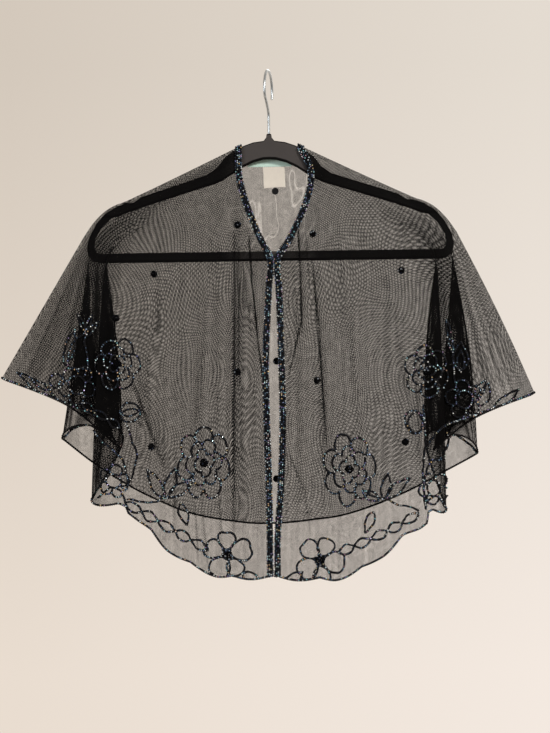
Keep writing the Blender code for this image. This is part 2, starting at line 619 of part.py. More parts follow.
def build():
    clear_scene()
    net = finish("black net", (0.03, 0.028, 0.027), 0.8, 0.0)
    beads = finish("dark beads", (0.015, 0.02, 0.035), 0.25, 0.4)
    velvet = finish("grey flocked plastic", (0.06, 0.055, 0.053), 0.9, 0.0)
    chrome = finish("bright wire", (0.75, 0.76, 0.77), 0.18, 1.0)
    mint = finish("pale green label", (0.42, 0.66, 0.58), 0.7, 0.0)
    cream = finish("cream label", (0.72, 0.70, 0.62), 0.8, 0.0)
    tab = finish("black tab", (0.02, 0.02, 0.02), 0.5, 0.0)

    back = Panel([(-1, "back", LEFT_BACK), (1, "back", RIGHT_BACK)], BACK_PLEATS, 1)
    left = Panel([(-1, "front", LEFT_FRONT)], FRONT_PLEATS, -1)
    right = Panel([(1, "front", RIGHT_FRONT)], FRONT_PLEATS, -1)
    seam = SEAM_GAP * 1.2 / (RIDGE_ROUNDNESS * CLOTH_TO_HANGER)
    cloth_object("back_panel", back, net, seam, seam)
    cloth_object("front_left_panel", left, net, seam, 0.0)
    cloth_object("front_right_panel", right, net, seam, 0.0)
    for side, name in ((-1, "left"), (1, "right")):
        path, neck_share, gap = band_path(side)
        join = neck_share + (1 - neck_share) * EDGE_JOIN
        neck_band = front_band(side, 0.0, neck_share - gap, NECK_STATIONS)
        upper_band = front_band(side, neck_share, join - gap, UPPER_EDGE_STATIONS)
        lower_band = front_band(side, join, 1.0, LOWER_EDGE_STATIONS)
        strip_object(f"front_{name}_neck_band", neck_band, beads)
        strip_object(f"front_{name}_upper_band", upper_band, beads)
        strip_object(f"front_{name}_lower_band", lower_band, beads)
    strip_object("back_neck_band", back_band(), beads)
    label_object("neck_label", NECK_LABEL, mint)
    label_object("care_label", CARE_LABEL, cream)
    size_tab(tab)
    hanger_frame(velvet)
    hanger_hook(chrome)

    carriers = {"front_left": (left, 3, -1), "front_right": (right, 3, -1), "back": (back, 5, 1)}
    for number, (x, z, carrier) in enumerate(DOTS, start=1):
        panel, first_line, facing = carriers[carrier]
        bead_dot(f"bead_dot_{number}", panel, x, z, first_line, facing, beads)


build()
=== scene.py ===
"""Looks of a sheer beaded capelet that hangs on a slim hanger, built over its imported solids.

Tables are in millimetres, as across (X), depth (Y) and height (Z) from the seat of the hanger's hook.
"""

import math
import random
from collections import namedtuple

import bmesh
import bpy
import numpy as np
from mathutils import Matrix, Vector
from mathutils.bvhtree import BVHTree


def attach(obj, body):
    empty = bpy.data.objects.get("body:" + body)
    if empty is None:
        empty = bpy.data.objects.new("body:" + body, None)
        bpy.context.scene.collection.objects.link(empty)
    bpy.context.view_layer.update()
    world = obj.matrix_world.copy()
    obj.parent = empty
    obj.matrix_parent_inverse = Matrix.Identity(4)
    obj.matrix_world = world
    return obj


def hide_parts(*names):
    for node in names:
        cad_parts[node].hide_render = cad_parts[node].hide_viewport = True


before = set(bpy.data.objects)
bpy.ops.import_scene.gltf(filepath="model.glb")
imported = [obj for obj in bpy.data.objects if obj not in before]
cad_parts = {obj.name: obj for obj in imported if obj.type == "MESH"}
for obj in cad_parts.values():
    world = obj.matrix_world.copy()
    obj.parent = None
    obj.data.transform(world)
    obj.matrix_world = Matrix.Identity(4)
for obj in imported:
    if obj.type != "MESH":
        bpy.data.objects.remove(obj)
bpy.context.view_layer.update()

MM = 0.001


def table(kind, rows):
    """Named rows from plain ones."""
    return [kind(*row) for row in rows]


# Sizes shared with the solids
SEAM_GAP = 0.3
CLOTH_TO_HANGER = 4.7
BAND_WIDTH = 7.5
SCALLOP_DEPTH = 4.0
SCALLOPS_ON_A_FRONT = 5
HANGER_TOP_Z = -75.0
HANGER_TOP_AT_NECK_Z = -91.9
HANGER_SLOPE_AT_NECK = 0.42
HANGER_BAR_FOOT_Z = -229.3
HOOK_WIRE = 3.5
HOOK_LOOP_RADIUS = 23.75
HOOK_STEM_TOP_Z = -50.0
HOOK_TURN_DEG = 79.0
FALL_AT = 0.42
FALL_ROUNDING = 0.03
LATE_STAND_OFF = 2.2
NECK_FIT = 0.15
BAND_TO_CLOTH = BAND_WIDTH / 2 - 1.6
RIDGE_ROUNDNESS = 2.1
FOLD_ROUNDNESS = 3.0

# How much lower than the solid's the hem of a front hangs just past its flute; the share of a sheet's
# length in which its scallops begin; and the share and height of the arch in its inner layer's hem
CORNER_DROP = {"net_front_left": 7.0, "net_front_right": 13.0}
SCALLOP_SHARE = 0.1
ARCH_SHARE = 0.25
ARCH_HEIGHT = 20.0

# How many times more columns than its table says a front has where its hem lies well forward
FINER = 2
WELL_FORWARD = -20.0

# The net: period of its yarn waves, and how its yarn is turned in each piece
NET_PITCH = 1.05
BACK_NET_TURN_DEG = 61.0
LEFT_NET_TURN_DEG = 38.0
RIGHT_NET_TURN_DEG = -43.0

# How much denser the net is along a fold and how far from it, in the layers hidden at the sides and in
# its own fine streaks, how much thinner it is at a hem and the hidden layers are low down, and the
# streaks' run across one stretch of a wing
FOLD_DENSE = 0.9
FOLD_REACH = 1.1
HIDDEN_DENSE = 1.4
STREAK_DENSE = 0.05
WING_STREAK_GAIN = 2.4
HEM_THINNER = 0.12
HIDDEN_THINNER_FRONT = 0.12
HIDDEN_THINNER_BACK = 0.25
WING_STREAKS = 55.0

# Where the painted light lines near the neck fade out, across and up, in metres
PAINTED_LIGHT_ACROSS = (0.040, 0.065)
PAINTED_LIGHT_UP = (-0.250, -0.210)

# Lines of the cloth: the shoulder ridge from the neck outwards, the necks of the fronts and their front
# edges from the top down, and the back of the neck from left to right
RIDGE = [(41.4, -91.2), (107, -122.6), (174.4, -154), (188, -158.9), (200.8, -166.4), (214.4, -180),
         (226, -196.6)]
LEFT_NECK = [(-37.1, -94.1), (-36.9, -124.4), (-30.1, -154.8), (-20.7, -181.6), (-10.9, -204.8),
             (-0.2, -228)]
RIGHT_NECK = [(38.6, -94.1), (49.4, -118), (49, -140), (38.8, -171.5), (22.6, -204), (8.2, -228)]
LEFT_EDGE = [(-2.6, -262), (-7.6, -350), (-7.4, -411), (-5.8, -500), (-5.4, -560), (-5.6, -609)]
RIGHT_EDGE = [(9.4, -262), (11.4, -350), (11.9, -425), (8.8, -500), (3.8, -560), (3, -609)]
BACK_NECK = [(-37.1, 5.2, -94.1), (-35.4, 6, -98.2), (-30, 8.2, -99.6), (-15, 9.2, -98.4),
             (0, 9.4, -97.6), (15, 9.2, -98.4), (31, 8.2, -99.6), (36.8, 6, -98.2),
             (38.6, 5.2, -94.1)]
BACK_NECK_FLAT = [(across, height) for across, _, height in BACK_NECK]

# One row for each line of the cloth that runs from the neck over the fall to the hem, as in the solids,
# with the number of columns from it to the next
Line = namedtuple("Line", "name neck fall_x fall_y fall_z arc hem_x hem_y hem_z bow fold columns")
LEFT_BACK = table(Line, [
    ("ridge", 0, -226, 0, -196.6, 1, -327.9, 0, -366.5, 0, True, 5),
    ("ridge back", 0.02, -225, 4.7, -200.6, 1, -323.5, 4.8, -369, 0, False, 36),
    ("wing back", 0.05, -223.4, 5.6, -214, 1, -250, 6.5, -401, 0, False, 26),
    ("inner fold", 0.08, -221.4, 9, -222, 1, -192, 13.5, -450, -9, True, 28),
    ("back flute", 0.11, -221.4, 12.4, -223, 1, -257.8, 21.5, -442, 0, True, 22),
    ("side back", 0.17, -172, 15.2, -265, 0.6, -219, 28.5, -473.5, 0, False, 22),
    ("back quarter", 0.27, -110, 14.6, -300, 0.2, -160, 31, -510.5, 0, False, 28),
    ("back inner", 0.38, -52, 13.6, -315, 0, -85, 32, -540.5, 0, False, 28),
    ("back middle", 0.50, 0, 13, -320, 0, -7.7, 32, -549.8, 0, False, 28),
])
RIGHT_BACK = table(Line, [
    ("back inner", 0.38, 50, 13.6, -315, 0, 70, 32, -543.5, 0, False, 28),
    ("back quarter", 0.27, 108, 14.6, -300, 0.2, 150, 31, -518.5, 0, False, 22),
    ("side back", 0.17, 170, 15.2, -265, 0.6, 211, 28.5, -488, 0, False, 22),
    ("back flute", 0.11, 221.4, 12.4, -223, 1, 249.7, 21.5, -466.1, 6, True, 28),
    ("inner fold", 0.08, 221.4, 9, -222, 1, 196, 13.5, -462, 2, True, 26),
    ("wing back", 0.05, 223.4, 5.6, -214, 1, 244, 6.5, -424, 0, False, 36),
    ("ridge back", 0.02, 225, 4.7, -200.6, 1, 313.4, 4.8, -395.7, 3, False, 5),
    ("ridge", 0, 226, 0, -196.6, 1, 317.8, 0, -393.1, 3, True, 1),
])
LEFT_FRONT = table(Line, [
    ("ridge", 0, -226, 0, -196.6, 1, -327.9, 0, -366.5, 0, True, 5),
    ("ridge front", 0.012, -225, -4.7, -200.6, 1, -323.5, -4.8, -369, 0, False, 36),
    ("wing front", 0.05, -213, -5.6, -216, 1, -250, -6.5, -398.5, 0, False, 28),
    ("inner fold", 0.10, -199, -9, -226, 1, -181, -13.5, -442, 4, True, 22),
    ("front flute", 0.18, -201, -12.4, -232, 1, -219.4, -21.5, -514.8, -2, True, 24),
    ("side front", 0.32, -160, -15.2, -290, 0.6, -176, -27.5, -521, 0, False, 26),
    ("front quarter", 0.52, -112, -14.6, -335, 0.2, -126, -30.5, -574, 0, False, 34),
    ("front inner", 0.76, -58, -13.6, -385, 0, -62, -32.5, -606, 0, False, 36),
    ("front edge", 1, -7, -13, -425, 0, -9.4, -34, -612, 0, False, 1),
])
RIGHT_FRONT = table(Line, [
    ("ridge", 0, 226, 0, -196.6, 1, 317.8, 0, -393.1, 3, True, 5),
    ("ridge front", 0.012, 225, -4.7, -200.6, 1, 313.4, -4.8, -395.7, 3, False, 36),
    ("wing front", 0.05, 213, -5.6, -216, 1, 249, -6.5, -418.5, 0, False, 28),
    ("inner fold", 0.10, 200.5, -9, -226, 1, 183, -13.5, -449, -6, True, 22),
    ("front flute", 0.18, 201, -12.4, -232, 1, 207.2, -21.5, -531.4, 2, True, 24),
    ("side front", 0.32, 162, -15.2, -290, 0.6, 184, -27.5, -532, 0, False, 26),
    ("front quarter", 0.52, 112, -14.6, -335, 0.2, 129, -30.5, -584, 0, False, 34),
    ("front inner", 0.76, 60, -13.6, -385, 0, 66, -32.5, -611, 0, False, 36),
    ("front edge", 1, 11, -13, -425, 0, 6.8, -34, -612, 0, False, 1),
])

# The lower and upper edges of the hanger's arm, across and height, the length that its shader measures by,
# and the width of the dark strip along its edges: painted shade along the lower edge, a dark line along the
# upper one
HANGER_LOWER_EDGE = [(0, -106.2), (8, -106.5), (20.6, -110), (33.6, -116.4), (44, -123.2),
                     (57, -131), (68, -135.6), (82, -139.8), (114, -149.6), (148, -160.2),
                     (166, -166.4), (184, -173.4), (190, -173.8)]
HANGER_UPPER_EDGE = [(2.9, -75), (3.4, -79.6), (6.4, -83.5), (19.4, -85.3), (30.7, -89.2), (41, -93.6),
                     (54.2, -103.5), (62.9, -115), (75.7, -123.9), (114.7, -136.4), (156, -149.8),
                     (187, -161.4)]
HANGER_RULE = 250.0
HANGER_DARK_EDGE = 3.0

# Soft hanging folds, as in the solids
Pleat = namedtuple("Pleat", "top_x top_z low_x low_z half_width rise")
FRONT_PLEATS = table(Pleat, [
    (-38, -170, -45, -570, 11, 3.6), (-24, -205, -16, -400, 8, -2.6), (-150, -330, -132, -500, 13, 3.2),
    (-96, -300, -88, -540, 14, -2.4), (38, -185, 24, -400, 9, 3), (53, -215, 66, -560, 11, 3.6),
    (112, -320, 122, -545, 14, -2.6), (160, -330, 166, -500, 12, 3),
])
BACK_PLEATS = table(Pleat, [
    (-58, -150, -92, -530, 15, 3.2), (-14, -200, -30, -540, 13, -2.6), (34, -170, 48, -540, 15, 3.4),
    (92, -200, 128, -520, 15, -2.8), (-118, -230, -158, -505, 14, -2.6),
])

# Fine creases in the net: where the crease starts and ends, its half width, how far it stands out
# and how much darker the net bunches there
Crease = namedtuple("Crease", "top_x top_z low_x low_z half_width rise dark")
FRONT_CREASES = table(Crease, [
    (-43, -178, -49, -560, 2, 1.2, 1.5), (-37.5, -186, -41, -380, 1.6, 1, 0.8),
    (-39.5, -190, -43, -560, 5.5, 1.4, 0.5), (-26, -196, -22.5, -262, 1.1, 1, 2.4),
    (-22.5, -256, -16, -334, 1.1, 0.8, 2.4), (-16.5, -328, -9, -392, 1.1, 0.8, 2.2),
    (-30, -236, -24.5, -330, 1.1, 0.8, 0.6), (-172, -362, -131, -478, 2.2, 1.4, 1.4),
    (-166, -352, -120, -496, 5, 1.4, 0.3), (-90, -330, -98, -505, 5, 1.2, 0.18),
    (-60, -260, -66, -470, 3.4, 1, 0.16), (-118, -470, -121, -560, 1.6, 1.1, 0.5),
    (-95, -515, -92, -590, 1.2, 0.9, 0.8), (-86, -530, -80, -596, 1.2, 0.8, 0.7),
    (-66, -505, -63, -560, 1.5, 0.9, 0.5), (33.5, -180, 35.8, -250, 1.1, 1.2, 2),
    (35.8, -242, 36.5, -310, 1.1, 1.1, 2), (37, -300, 20, -368, 1.1, 1, 2),
    (43, -196, 47, -262, 1, 1, 0.9), (30, -262, 31.5, -330, 1.2, 0.8, 0.7),
    (50.5, -228, 56.3, -308, 1.3, 1.4, 1.8), (56.3, -300, 64, -456, 1.4, 1.2, 1.6),
    (54, -232, 66, -500, 5.5, 1.4, 0.4), (39, -196, 36, -330, 4, 1.2, 0.4),
    (19, -462, 36, -505, 1.3, 1, 1), (36, -498, 44, -560, 1.4, 0.8, 0.5),
    (96, -420, 104, -520, 4, 1.2, 0.18), (140, -300, 150, -470, 5, 1.5, 0.2),
    (172, -330, 176, -480, 2.4, 1.5, 0.7), (-150, -150, -176, -225, 3, 0.8, 0.2),
    (-196, -196, -200, -236, 1.4, 0.6, 0.9), (-206, -190, -208, -234, 1.2, 0.6, 0.7),
    (150, -150, 172, -225, 3, 0.8, 0.2), (197, -196, 201, -236, 1.4, 0.6, 0.7),
])
BACK_CREASES = table(Crease, [
    (-70, -180, -104, -520, 3, 1.4, 0.3), (-30, -130, -38, -420, 3, 1.1, 0.22),
    (8, -130, 12, -330, 3.4, 1, 0.18), (26, -150, 34, -520, 3, 1.3, 0.25),
    (82, -190, 112, -505, 3.6, 1.5, 0.3), (-132, -250, -176, -490, 3.4, 1.4, 0.3),
    (140, -240, 176, -470, 3.4, 1.4, 0.3), (56, -380, 62, -540, 3, 1.2, 0.25),
])
WING_CREASES = table(Crease, [
    (-223, -206, -298, -368, 2.4, 0.5, 0.35), (-223, -212, -276, -376, 2.6, 0.5, 0.30),
    (-221, -214, -258, -388, 2.6, 0.5, 0.45), (-214, -220, -232, -392, 3, 0.5, 0.60),
    (-210, -226, -214, -400, 3.4, 0.5, 1), (-204, -230, -204, -410, 2.6, 0.5, 1),
    (223, -206, 300, -388, 2.2, 0.5, 0.28), (223, -212, 283, -396, 2.6, 0.5, 0.30),
    (221, -214, 262, -404, 2.4, 0.5, 0.30), (214, -222, 238, -410, 2.6, 0.5, 0.40),
    (208, -228, 212, -420, 3.4, 0.5, 0.90), (203, -232, 200, -425, 2.4, 0.5, 0.90),
])

# Bead work on the fronts: middles and sizes of the flowers, and the turn of their petals
Flower = namedtuple("Flower", "x z wide high petals turn")
ROSES = table(Flower, [
    (-83.5, -472, 32, 44, 7, 12), (91, -482, 32, 43, 7, -20), (-186, -352, 27, 32, 6, 30),
    (186, -366, 27, 32, 6, 8),
])
HEM_FLOWERS = table(Flower, [
    (-56.5, -582, 29, 29, 5, 18), (54, -590, 29, 29, 5, -8),
])
WING_FLOWERS = table(Flower, [
    (-236, -376, 23, 24, 5, 15), (231.5, -400, 22, 24, 5, -10), (-192, -492, 18, 20, 5, 40),
    (192, -506, 18, 20, 5, 10),
])

# Leaves: base, tip and width
Leaf = namedtuple("Leaf", "base_x base_z tip_x tip_z width")
LEAVES = table(Leaf, [
    (-132, -513, -151, -479, 13), (-130, -513, -118, -478, 13), (-128, -512, -95, -492, 12),
    (-112, -520, -105, -546, 11), (-40, -604, -15.5, -617, 12), (134, -517, 163, -493, 12),
    (132, -518, 138, -488, 12), (126, -520, 106, -508, 11), (119, -534, 109, -558, 11),
    (33, -604, 10, -619, 12), (-182, -412, -161, -408, 9), (171, -440, 171, -412, 18),
    (-225, -311, -234.5, -291, 5), (-225, -311, -217, -292, 5), (-224.5, -318, -209.5, -300, 6),
    (-250, -352, -238, -309, 12), (-262, -392, -308, -360, 11), (-268, -382, -292, -369, 6),
    (218, -342, 211.5, -304, 6), (218, -342, 216, -322, 5), (228.5, -366, 228, -331, 18),
    (228.5, -364, 228, -341, 9), (266, -414, 298, -389, 10), (250, -409, 262, -381, 14),
    (246, -396, 258, -378, 11),
])

# Plain bead lines, each a smooth path of across and height
TRAILS = [
    [(-224.5, -309), (-225.5, -330), (-222, -352), (-228, -366)],
    [(218, -330), (219.5, -362), (222, -384), (226, -394)],
    [(-133, -512), (-142, -518), (-158, -517), (-176, -514)],
    [(134, -517), (146, -524), (160, -527), (173, -532)],
    [(-100, -500), (-112, -510), (-128, -514)],
    [(106, -506), (118, -514), (130, -518)],
    [(-258.4, -441.4), (-246, -431), (-236, -426.5), (-226.6, -424.9), (-215, -432),
     (-204, -446), (-192, -455), (-181, -468), (-176, -486), (-176, -502)],
    [(249.5, -465.5), (236, -452), (222, -444), (216, -447), (212, -458),
     (206, -470), (190, -474), (182, -490), (180, -512), (183, -528)],
    [(245, -419), (229.5, -424), (208.5, -431), (193, -443), (186.5, -455)],
    [(209.8, -433.5), (214.5, -450), (208, -466), (186, -473)],
    [(181, -406.5), (183, -449), (179, -485), (181.5, -531)],
    [(-222, -312), (-238, -322), (-247, -344), (-244, -356), (-226, -357)],
    [(-176, -424), (-170, -442), (-164, -462), (-170, -486), (-178, -504)],
    [(-211, -512), (-196, -500), (-182, -506), (-178, -520)],
    [(206, -529), (196, -516), (184, -520)],
]

# Round loops: middle and half sizes
Loop = namedtuple("Loop", "x z wide high")
LOOPS = [Loop(-171.4, -410, 12.5, 11.5), Loop(170, -426, 11, 14), Loop(-261, -371, 8, 9)]

# Chains of almond links along a path: the width of a link and how many there are
Chain = namedtuple("Chain", "width links path")
CHAINS = [
    Chain(11, 5, [(-179, -518), (-150.5, -534), (-124, -550), (-97, -566),
                    (-80, -576)]),
    Chain(11, 5, [(173, -536), (142.6, -553), (113, -567), (85, -578), (76, -582)]),
    Chain(8.5, 3, [(-230, -398.5), (-209, -411), (-184, -428)]),
]

# Raised clusters of black beads: across and height, and the side of the cloth they are sewn to
DOT_RADIUS = 3.7
DOTS = [
    (-141, -243.6, "front"), (-187.4, -296.4, "front"), (-39.5, -185.3, "front"),
    (-41.5, -363.2, "front"), (-146.1, -451.5, "front"), (51.6, -197.2, "front"),
    (157.7, -243.2, "front"), (54.2, -374.6, "front"), (159, -450, "front"),
    (5.6, -350.6, "back"), (3.6, -495, "back"),
]

# The middles of the flowers: how wide the cluster is, its beads' size and how high it stands
ROSE_MIDDLE = (4.6, 1.25, 1.3)
HEM_FLOWER_MIDDLE = (5.8, 1.5, 1.5)

# The beads of the drawn lines, the couched cord under them, and how far it wanders from a drawn line
BEAD_RADIUS = 1.22
BEAD_PITCH = 2.5
CORD_RADIUS = 1.4
SEWING_WANDER = 0.45

# How loosely a bead sits: how much it leans, how far it slips, and how far its painted highlight lies off
# its top; and how short it is along its hole
BEAD_LEAN = 0.12
BEAD_SLIP = 0.22
GLINT_OFF_TOP = 0.45
BEAD_SHORTNESS = 0.82

# Rows of beads on a band, their spacing, the beads' own size and pitch, and how much narrower and how
# thick the tape under them is
BAND_ROWS = 4
BAND_ROW_SPACING = 2.25
BAND_BEAD_RADIUS = 1.12
BAND_BEAD_PITCH = 2.08
BAND_LOOSENESS = 0.4
TAPE_NARROWER = 1.2
TAPE_THICKNESS = 0.8

# The hems: points along them from one stitch to the next, and the thickness of the thread at each of
# three points in turn; and the beads that hang on the fronts' hems
HEM_POINT_SPACING = 0.85
HEM_KNOTS = (0.86, 1.3, 0.92)
HEM_BEAD_RADIUS = 1.25
HEM_BEAD_PITCH = 2.4

# Labels: left, right, top, foot and depth, and how far each curls forward; and the round tab
NECK_LABEL = (-26.6, 26.8, -102.2, -114.4, 6.3)
CARE_LABEL = (-7.8, 18.4, -114.7, -139.6, 6.3)
NECK_LABEL_CURL = 0.3
CARE_LABEL_CURL = 1.6
LABEL_THICKNESS = 0.5
TAB_RADIUS = 4.2
TAB_MIDDLE_X = 6.7


# Shader helpers

class Value:
    """A node's output that can be written in sums and products; each adds its Math node."""

    def __init__(self, paint, socket):
        self.paint = paint
        self.socket = socket

    def math(self, operation, *others, first=True):
        values = [self, *others] if first else [*others, self]
        return self.paint.node("ShaderNodeMath", {"operation": operation}, dict(enumerate(values)))

    def __add__(self, other):
        return self.math("ADD", other)

    def __radd__(self, other):
        return self.math("ADD", other)

    def __sub__(self, other):
        return self.math("SUBTRACT", other)

    def __rsub__(self, other):
        return self.math("SUBTRACT", other, first=False)

    def __mul__(self, other):
        return self.math("MULTIPLY", other)

    def __rmul__(self, other):
        return self.math("MULTIPLY", other)


class Paint:
    """A material, and the one way its nodes are added."""

    def __init__(self, name, **constants):
        self.material = bpy.data.materials.new(name)
        self.material.use_nodes = True
        self.tree = self.material.node_tree
        self.shader = self.tree.nodes["Principled BSDF"]
        for socket, value in constants.items():
            self.shader.inputs[socket.replace("_", " ")].default_value = value

    def node(self, kind, settings=None, sockets=None, out=0):
        made = self.tree.nodes.new(kind)
        for name, value in (settings or {}).items():
            if name == "stops":
                self.set_stops(made.color_ramp, value)
            else:
                setattr(made, name, value)
        for name, value in (sockets or {}).items():
            self.put(made.inputs[name], value)
        return Value(self, made.outputs[out])

    def set_stops(self, ramp, stops):
        while len(ramp.elements) < len(stops):
            ramp.elements.new(0.5)
        for element, (place, colour) in zip(ramp.elements, stops):
            element.position = place
            element.color = (*colour, 1.0)

    def put(self, socket, value):
        if isinstance(value, Value):
            self.tree.links.new(value.socket, socket)
        else:
            socket.default_value = value

    def feed(self, socket, value):
        self.put(self.shader.inputs[socket], value)

    def place(self):
        return self.node("ShaderNodeTexCoord", out="Object")

    def along(self, axis):
        """One coordinate of the place, in metres."""
        return self.node("ShaderNodeSeparateXYZ", {}, {0: self.place()}, axis)

    def attribute(self, name):
        return self.node("ShaderNodeAttribute", {"attribute_name": name}, out="Fac")

    def noise(self, scale, detail=2.0, vector=None, out="Fac"):
        sockets = {"Vector": vector or self.place(), "Scale": scale, "Detail": detail}
        return self.node("ShaderNodeTexNoise", {}, sockets, out)

    def between(self, factor, first, second):
        """A colour mixed from two by a factor."""
        return self.node("ShaderNodeMix", {"data_type": "RGBA"}, {0: factor, 6: first, 7: second}, 2)

    def step(self, value, low, high, to_low=0.0, to_high=1.0):
        """A smooth step of a value between two others."""
        sockets = {"Value": value, "From Min": low, "From Max": high, "To Min": to_low, "To Max": to_high}
        return self.node("ShaderNodeMapRange", {"interpolation_type": "SMOOTHSTEP"}, sockets)

    def bump(self, height, distance, strength=1.0):
        self.feed("Normal", self.node("ShaderNodeBump", {}, {"Height": height, "Distance": distance,
                                                             "Strength": strength}))


def colour(red, green, blue):
    return (red, green, blue, 1.0)


# Finishes

def net_finish():
    """Fine black net: three sets of yarn waves leave small round holes, denser where the cloth bunches."""
    paint = Paint("black_net", Specular_IOR_Level=0.03, Roughness=0.6)
    place = paint.node("ShaderNodeUVMap", {"uv_map": "net"})
    dense = paint.attribute("dense")
    waves = []
    for degrees in (0.0, 60.0, 120.0):
        turn = math.radians(degrees)
        along = (math.cos(turn) * math.tau / NET_PITCH, math.sin(turn) * math.tau / NET_PITCH, 0.0)
        phase = paint.node("ShaderNodeVectorMath", {"operation": "DOT_PRODUCT"}, {0: place, 1: along},
                           "Value")
        waves.append(phase.math("COSINE"))
    lattice = waves[0] + waves[1] + waves[2]
    watered = paint.node("ShaderNodeTexNoise", {}, {"Vector": paint.place(), "Scale": 62.0, "Detail": 2.0,
                                                    "Distortion": 2.6})
    # Painted light: thin light lines near the neck stand in for the ripples between the net and its own
    # shadow on a wall behind it
    drawn_out = paint.node("ShaderNodeMapping", {}, {"Vector": paint.place(), "Scale": (1.0, 1.0, 0.38)})
    ripple = paint.node("ShaderNodeTexNoise", {}, {"Vector": drawn_out, "Scale": 30.0, "Detail": 0.6,
                                                   "Distortion": 1.1})
    off_line = (ripple - 0.5).math("ABSOLUTE")
    across = paint.along("X").math("ABSOLUTE")
    at_neck = paint.step(across, *PAINTED_LIGHT_ACROSS, 1.0, 0.0) * paint.step(paint.along("Z"), *PAINTED_LIGHT_UP)
    painted_light_lines = paint.step(off_line, 0.0, 0.024, 1.0, 0.0) * at_neck
    hole = lattice - dense * 1.5 - (watered - 0.5) * 1.3 + painted_light_lines * 0.8
    # The net's coverage is set somewhat denser than its yarn's own, partly painted shade for the shadow it
    # casts on a wall behind it
    paint.feed("Alpha", paint.step(hole, -0.9, 0.7, 1.0, 0.0))
    soft = paint.noise(45.0, 3.0)
    yarn = paint.between(soft, colour(0.0020, 0.0019, 0.0021), colour(0.0048, 0.0044, 0.0043))
    paint.feed("Base Color", yarn)
    paint.bump(lattice * -1.0, 0.0001, 0.5)
    return paint.material


def bead_finish():
    """Black glass beads, each with a painted highlight: a bright iridescent spot whose colour the bead's
    own tone picks.
    """
    paint = Paint("dark_beads", Metallic=0.25, Specular_IOR_Level=0.3)
    tone = paint.attribute("tone")
    # Painted highlight: the points near a bead's spot take its tone's bright colour, the rest stays dark
    spot = paint.attribute("spot")
    stops = [
        (0.00, (0.002, 0.002, 0.004)), (0.44, (0.006, 0.008, 0.014)), (0.56, (0.024, 0.038, 0.066)),
        (0.67, (0.110, 0.180, 0.270)), (0.74, (0.360, 0.500, 0.640)), (0.78, (0.220, 0.230, 0.520)),
        (0.81, (0.520, 0.310, 0.420)), (0.84, (0.780, 0.550, 0.270)), (0.88, (0.280, 0.660, 0.740)),
        (0.93, (0.800, 0.900, 0.960)), (1.00, (1.000, 1.000, 0.980)),
    ]
    glint_colour = paint.node("ShaderNodeValToRGB", {"stops": stops}, {"Fac": tone})
    tint = paint.noise(900.0, 1.0)
    body = paint.between(tint, colour(0.0030, 0.0034, 0.0060), colour(0.0090, 0.0100, 0.0150))
    paint.feed("Base Color", paint.between(paint.step(spot, 0.40, 0.80), body, glint_colour))
    paint.feed("Roughness", paint.step(tone, 0.0, 1.0, 0.34, 0.18))
    return paint.material


def black_bead_finish():
    """Jet black beads of the raised clusters and flower middles, a few of them with a painted glint."""
    paint = Paint("jet_beads", Specular_IOR_Level=0.06)
    tone = paint.attribute("tone")
    # The top few tones are a painted glint
    stops = [(0.0, (0.001, 0.001, 0.001)), (0.90, (0.002, 0.002, 0.003)), (0.96, (0.03, 0.04, 0.07)),
             (1.0, (0.38, 0.42, 0.46))]
    paint.feed("Base Color", paint.node("ShaderNodeValToRGB", {"stops": stops}, {"Fac": tone}))
    paint.feed("Roughness", paint.step(tone, 0.0, 1.0, 0.32, 0.16))
    return paint.material


def thread_finish():
    """Black sewing thread and tape: a fine twist in the relief."""
    paint = Paint("black_thread", Specular_IOR_Level=0.12, Roughness=0.7)
    ply = paint.noise(1400.0, 2.0)
    shade = paint.between(ply, colour(0.0030, 0.0030, 0.0035), colour(0.0110, 0.0105, 0.0110))
    paint.feed("Base Color", shade)
    paint.bump(ply, 0.00015, 0.6)
    return paint.material


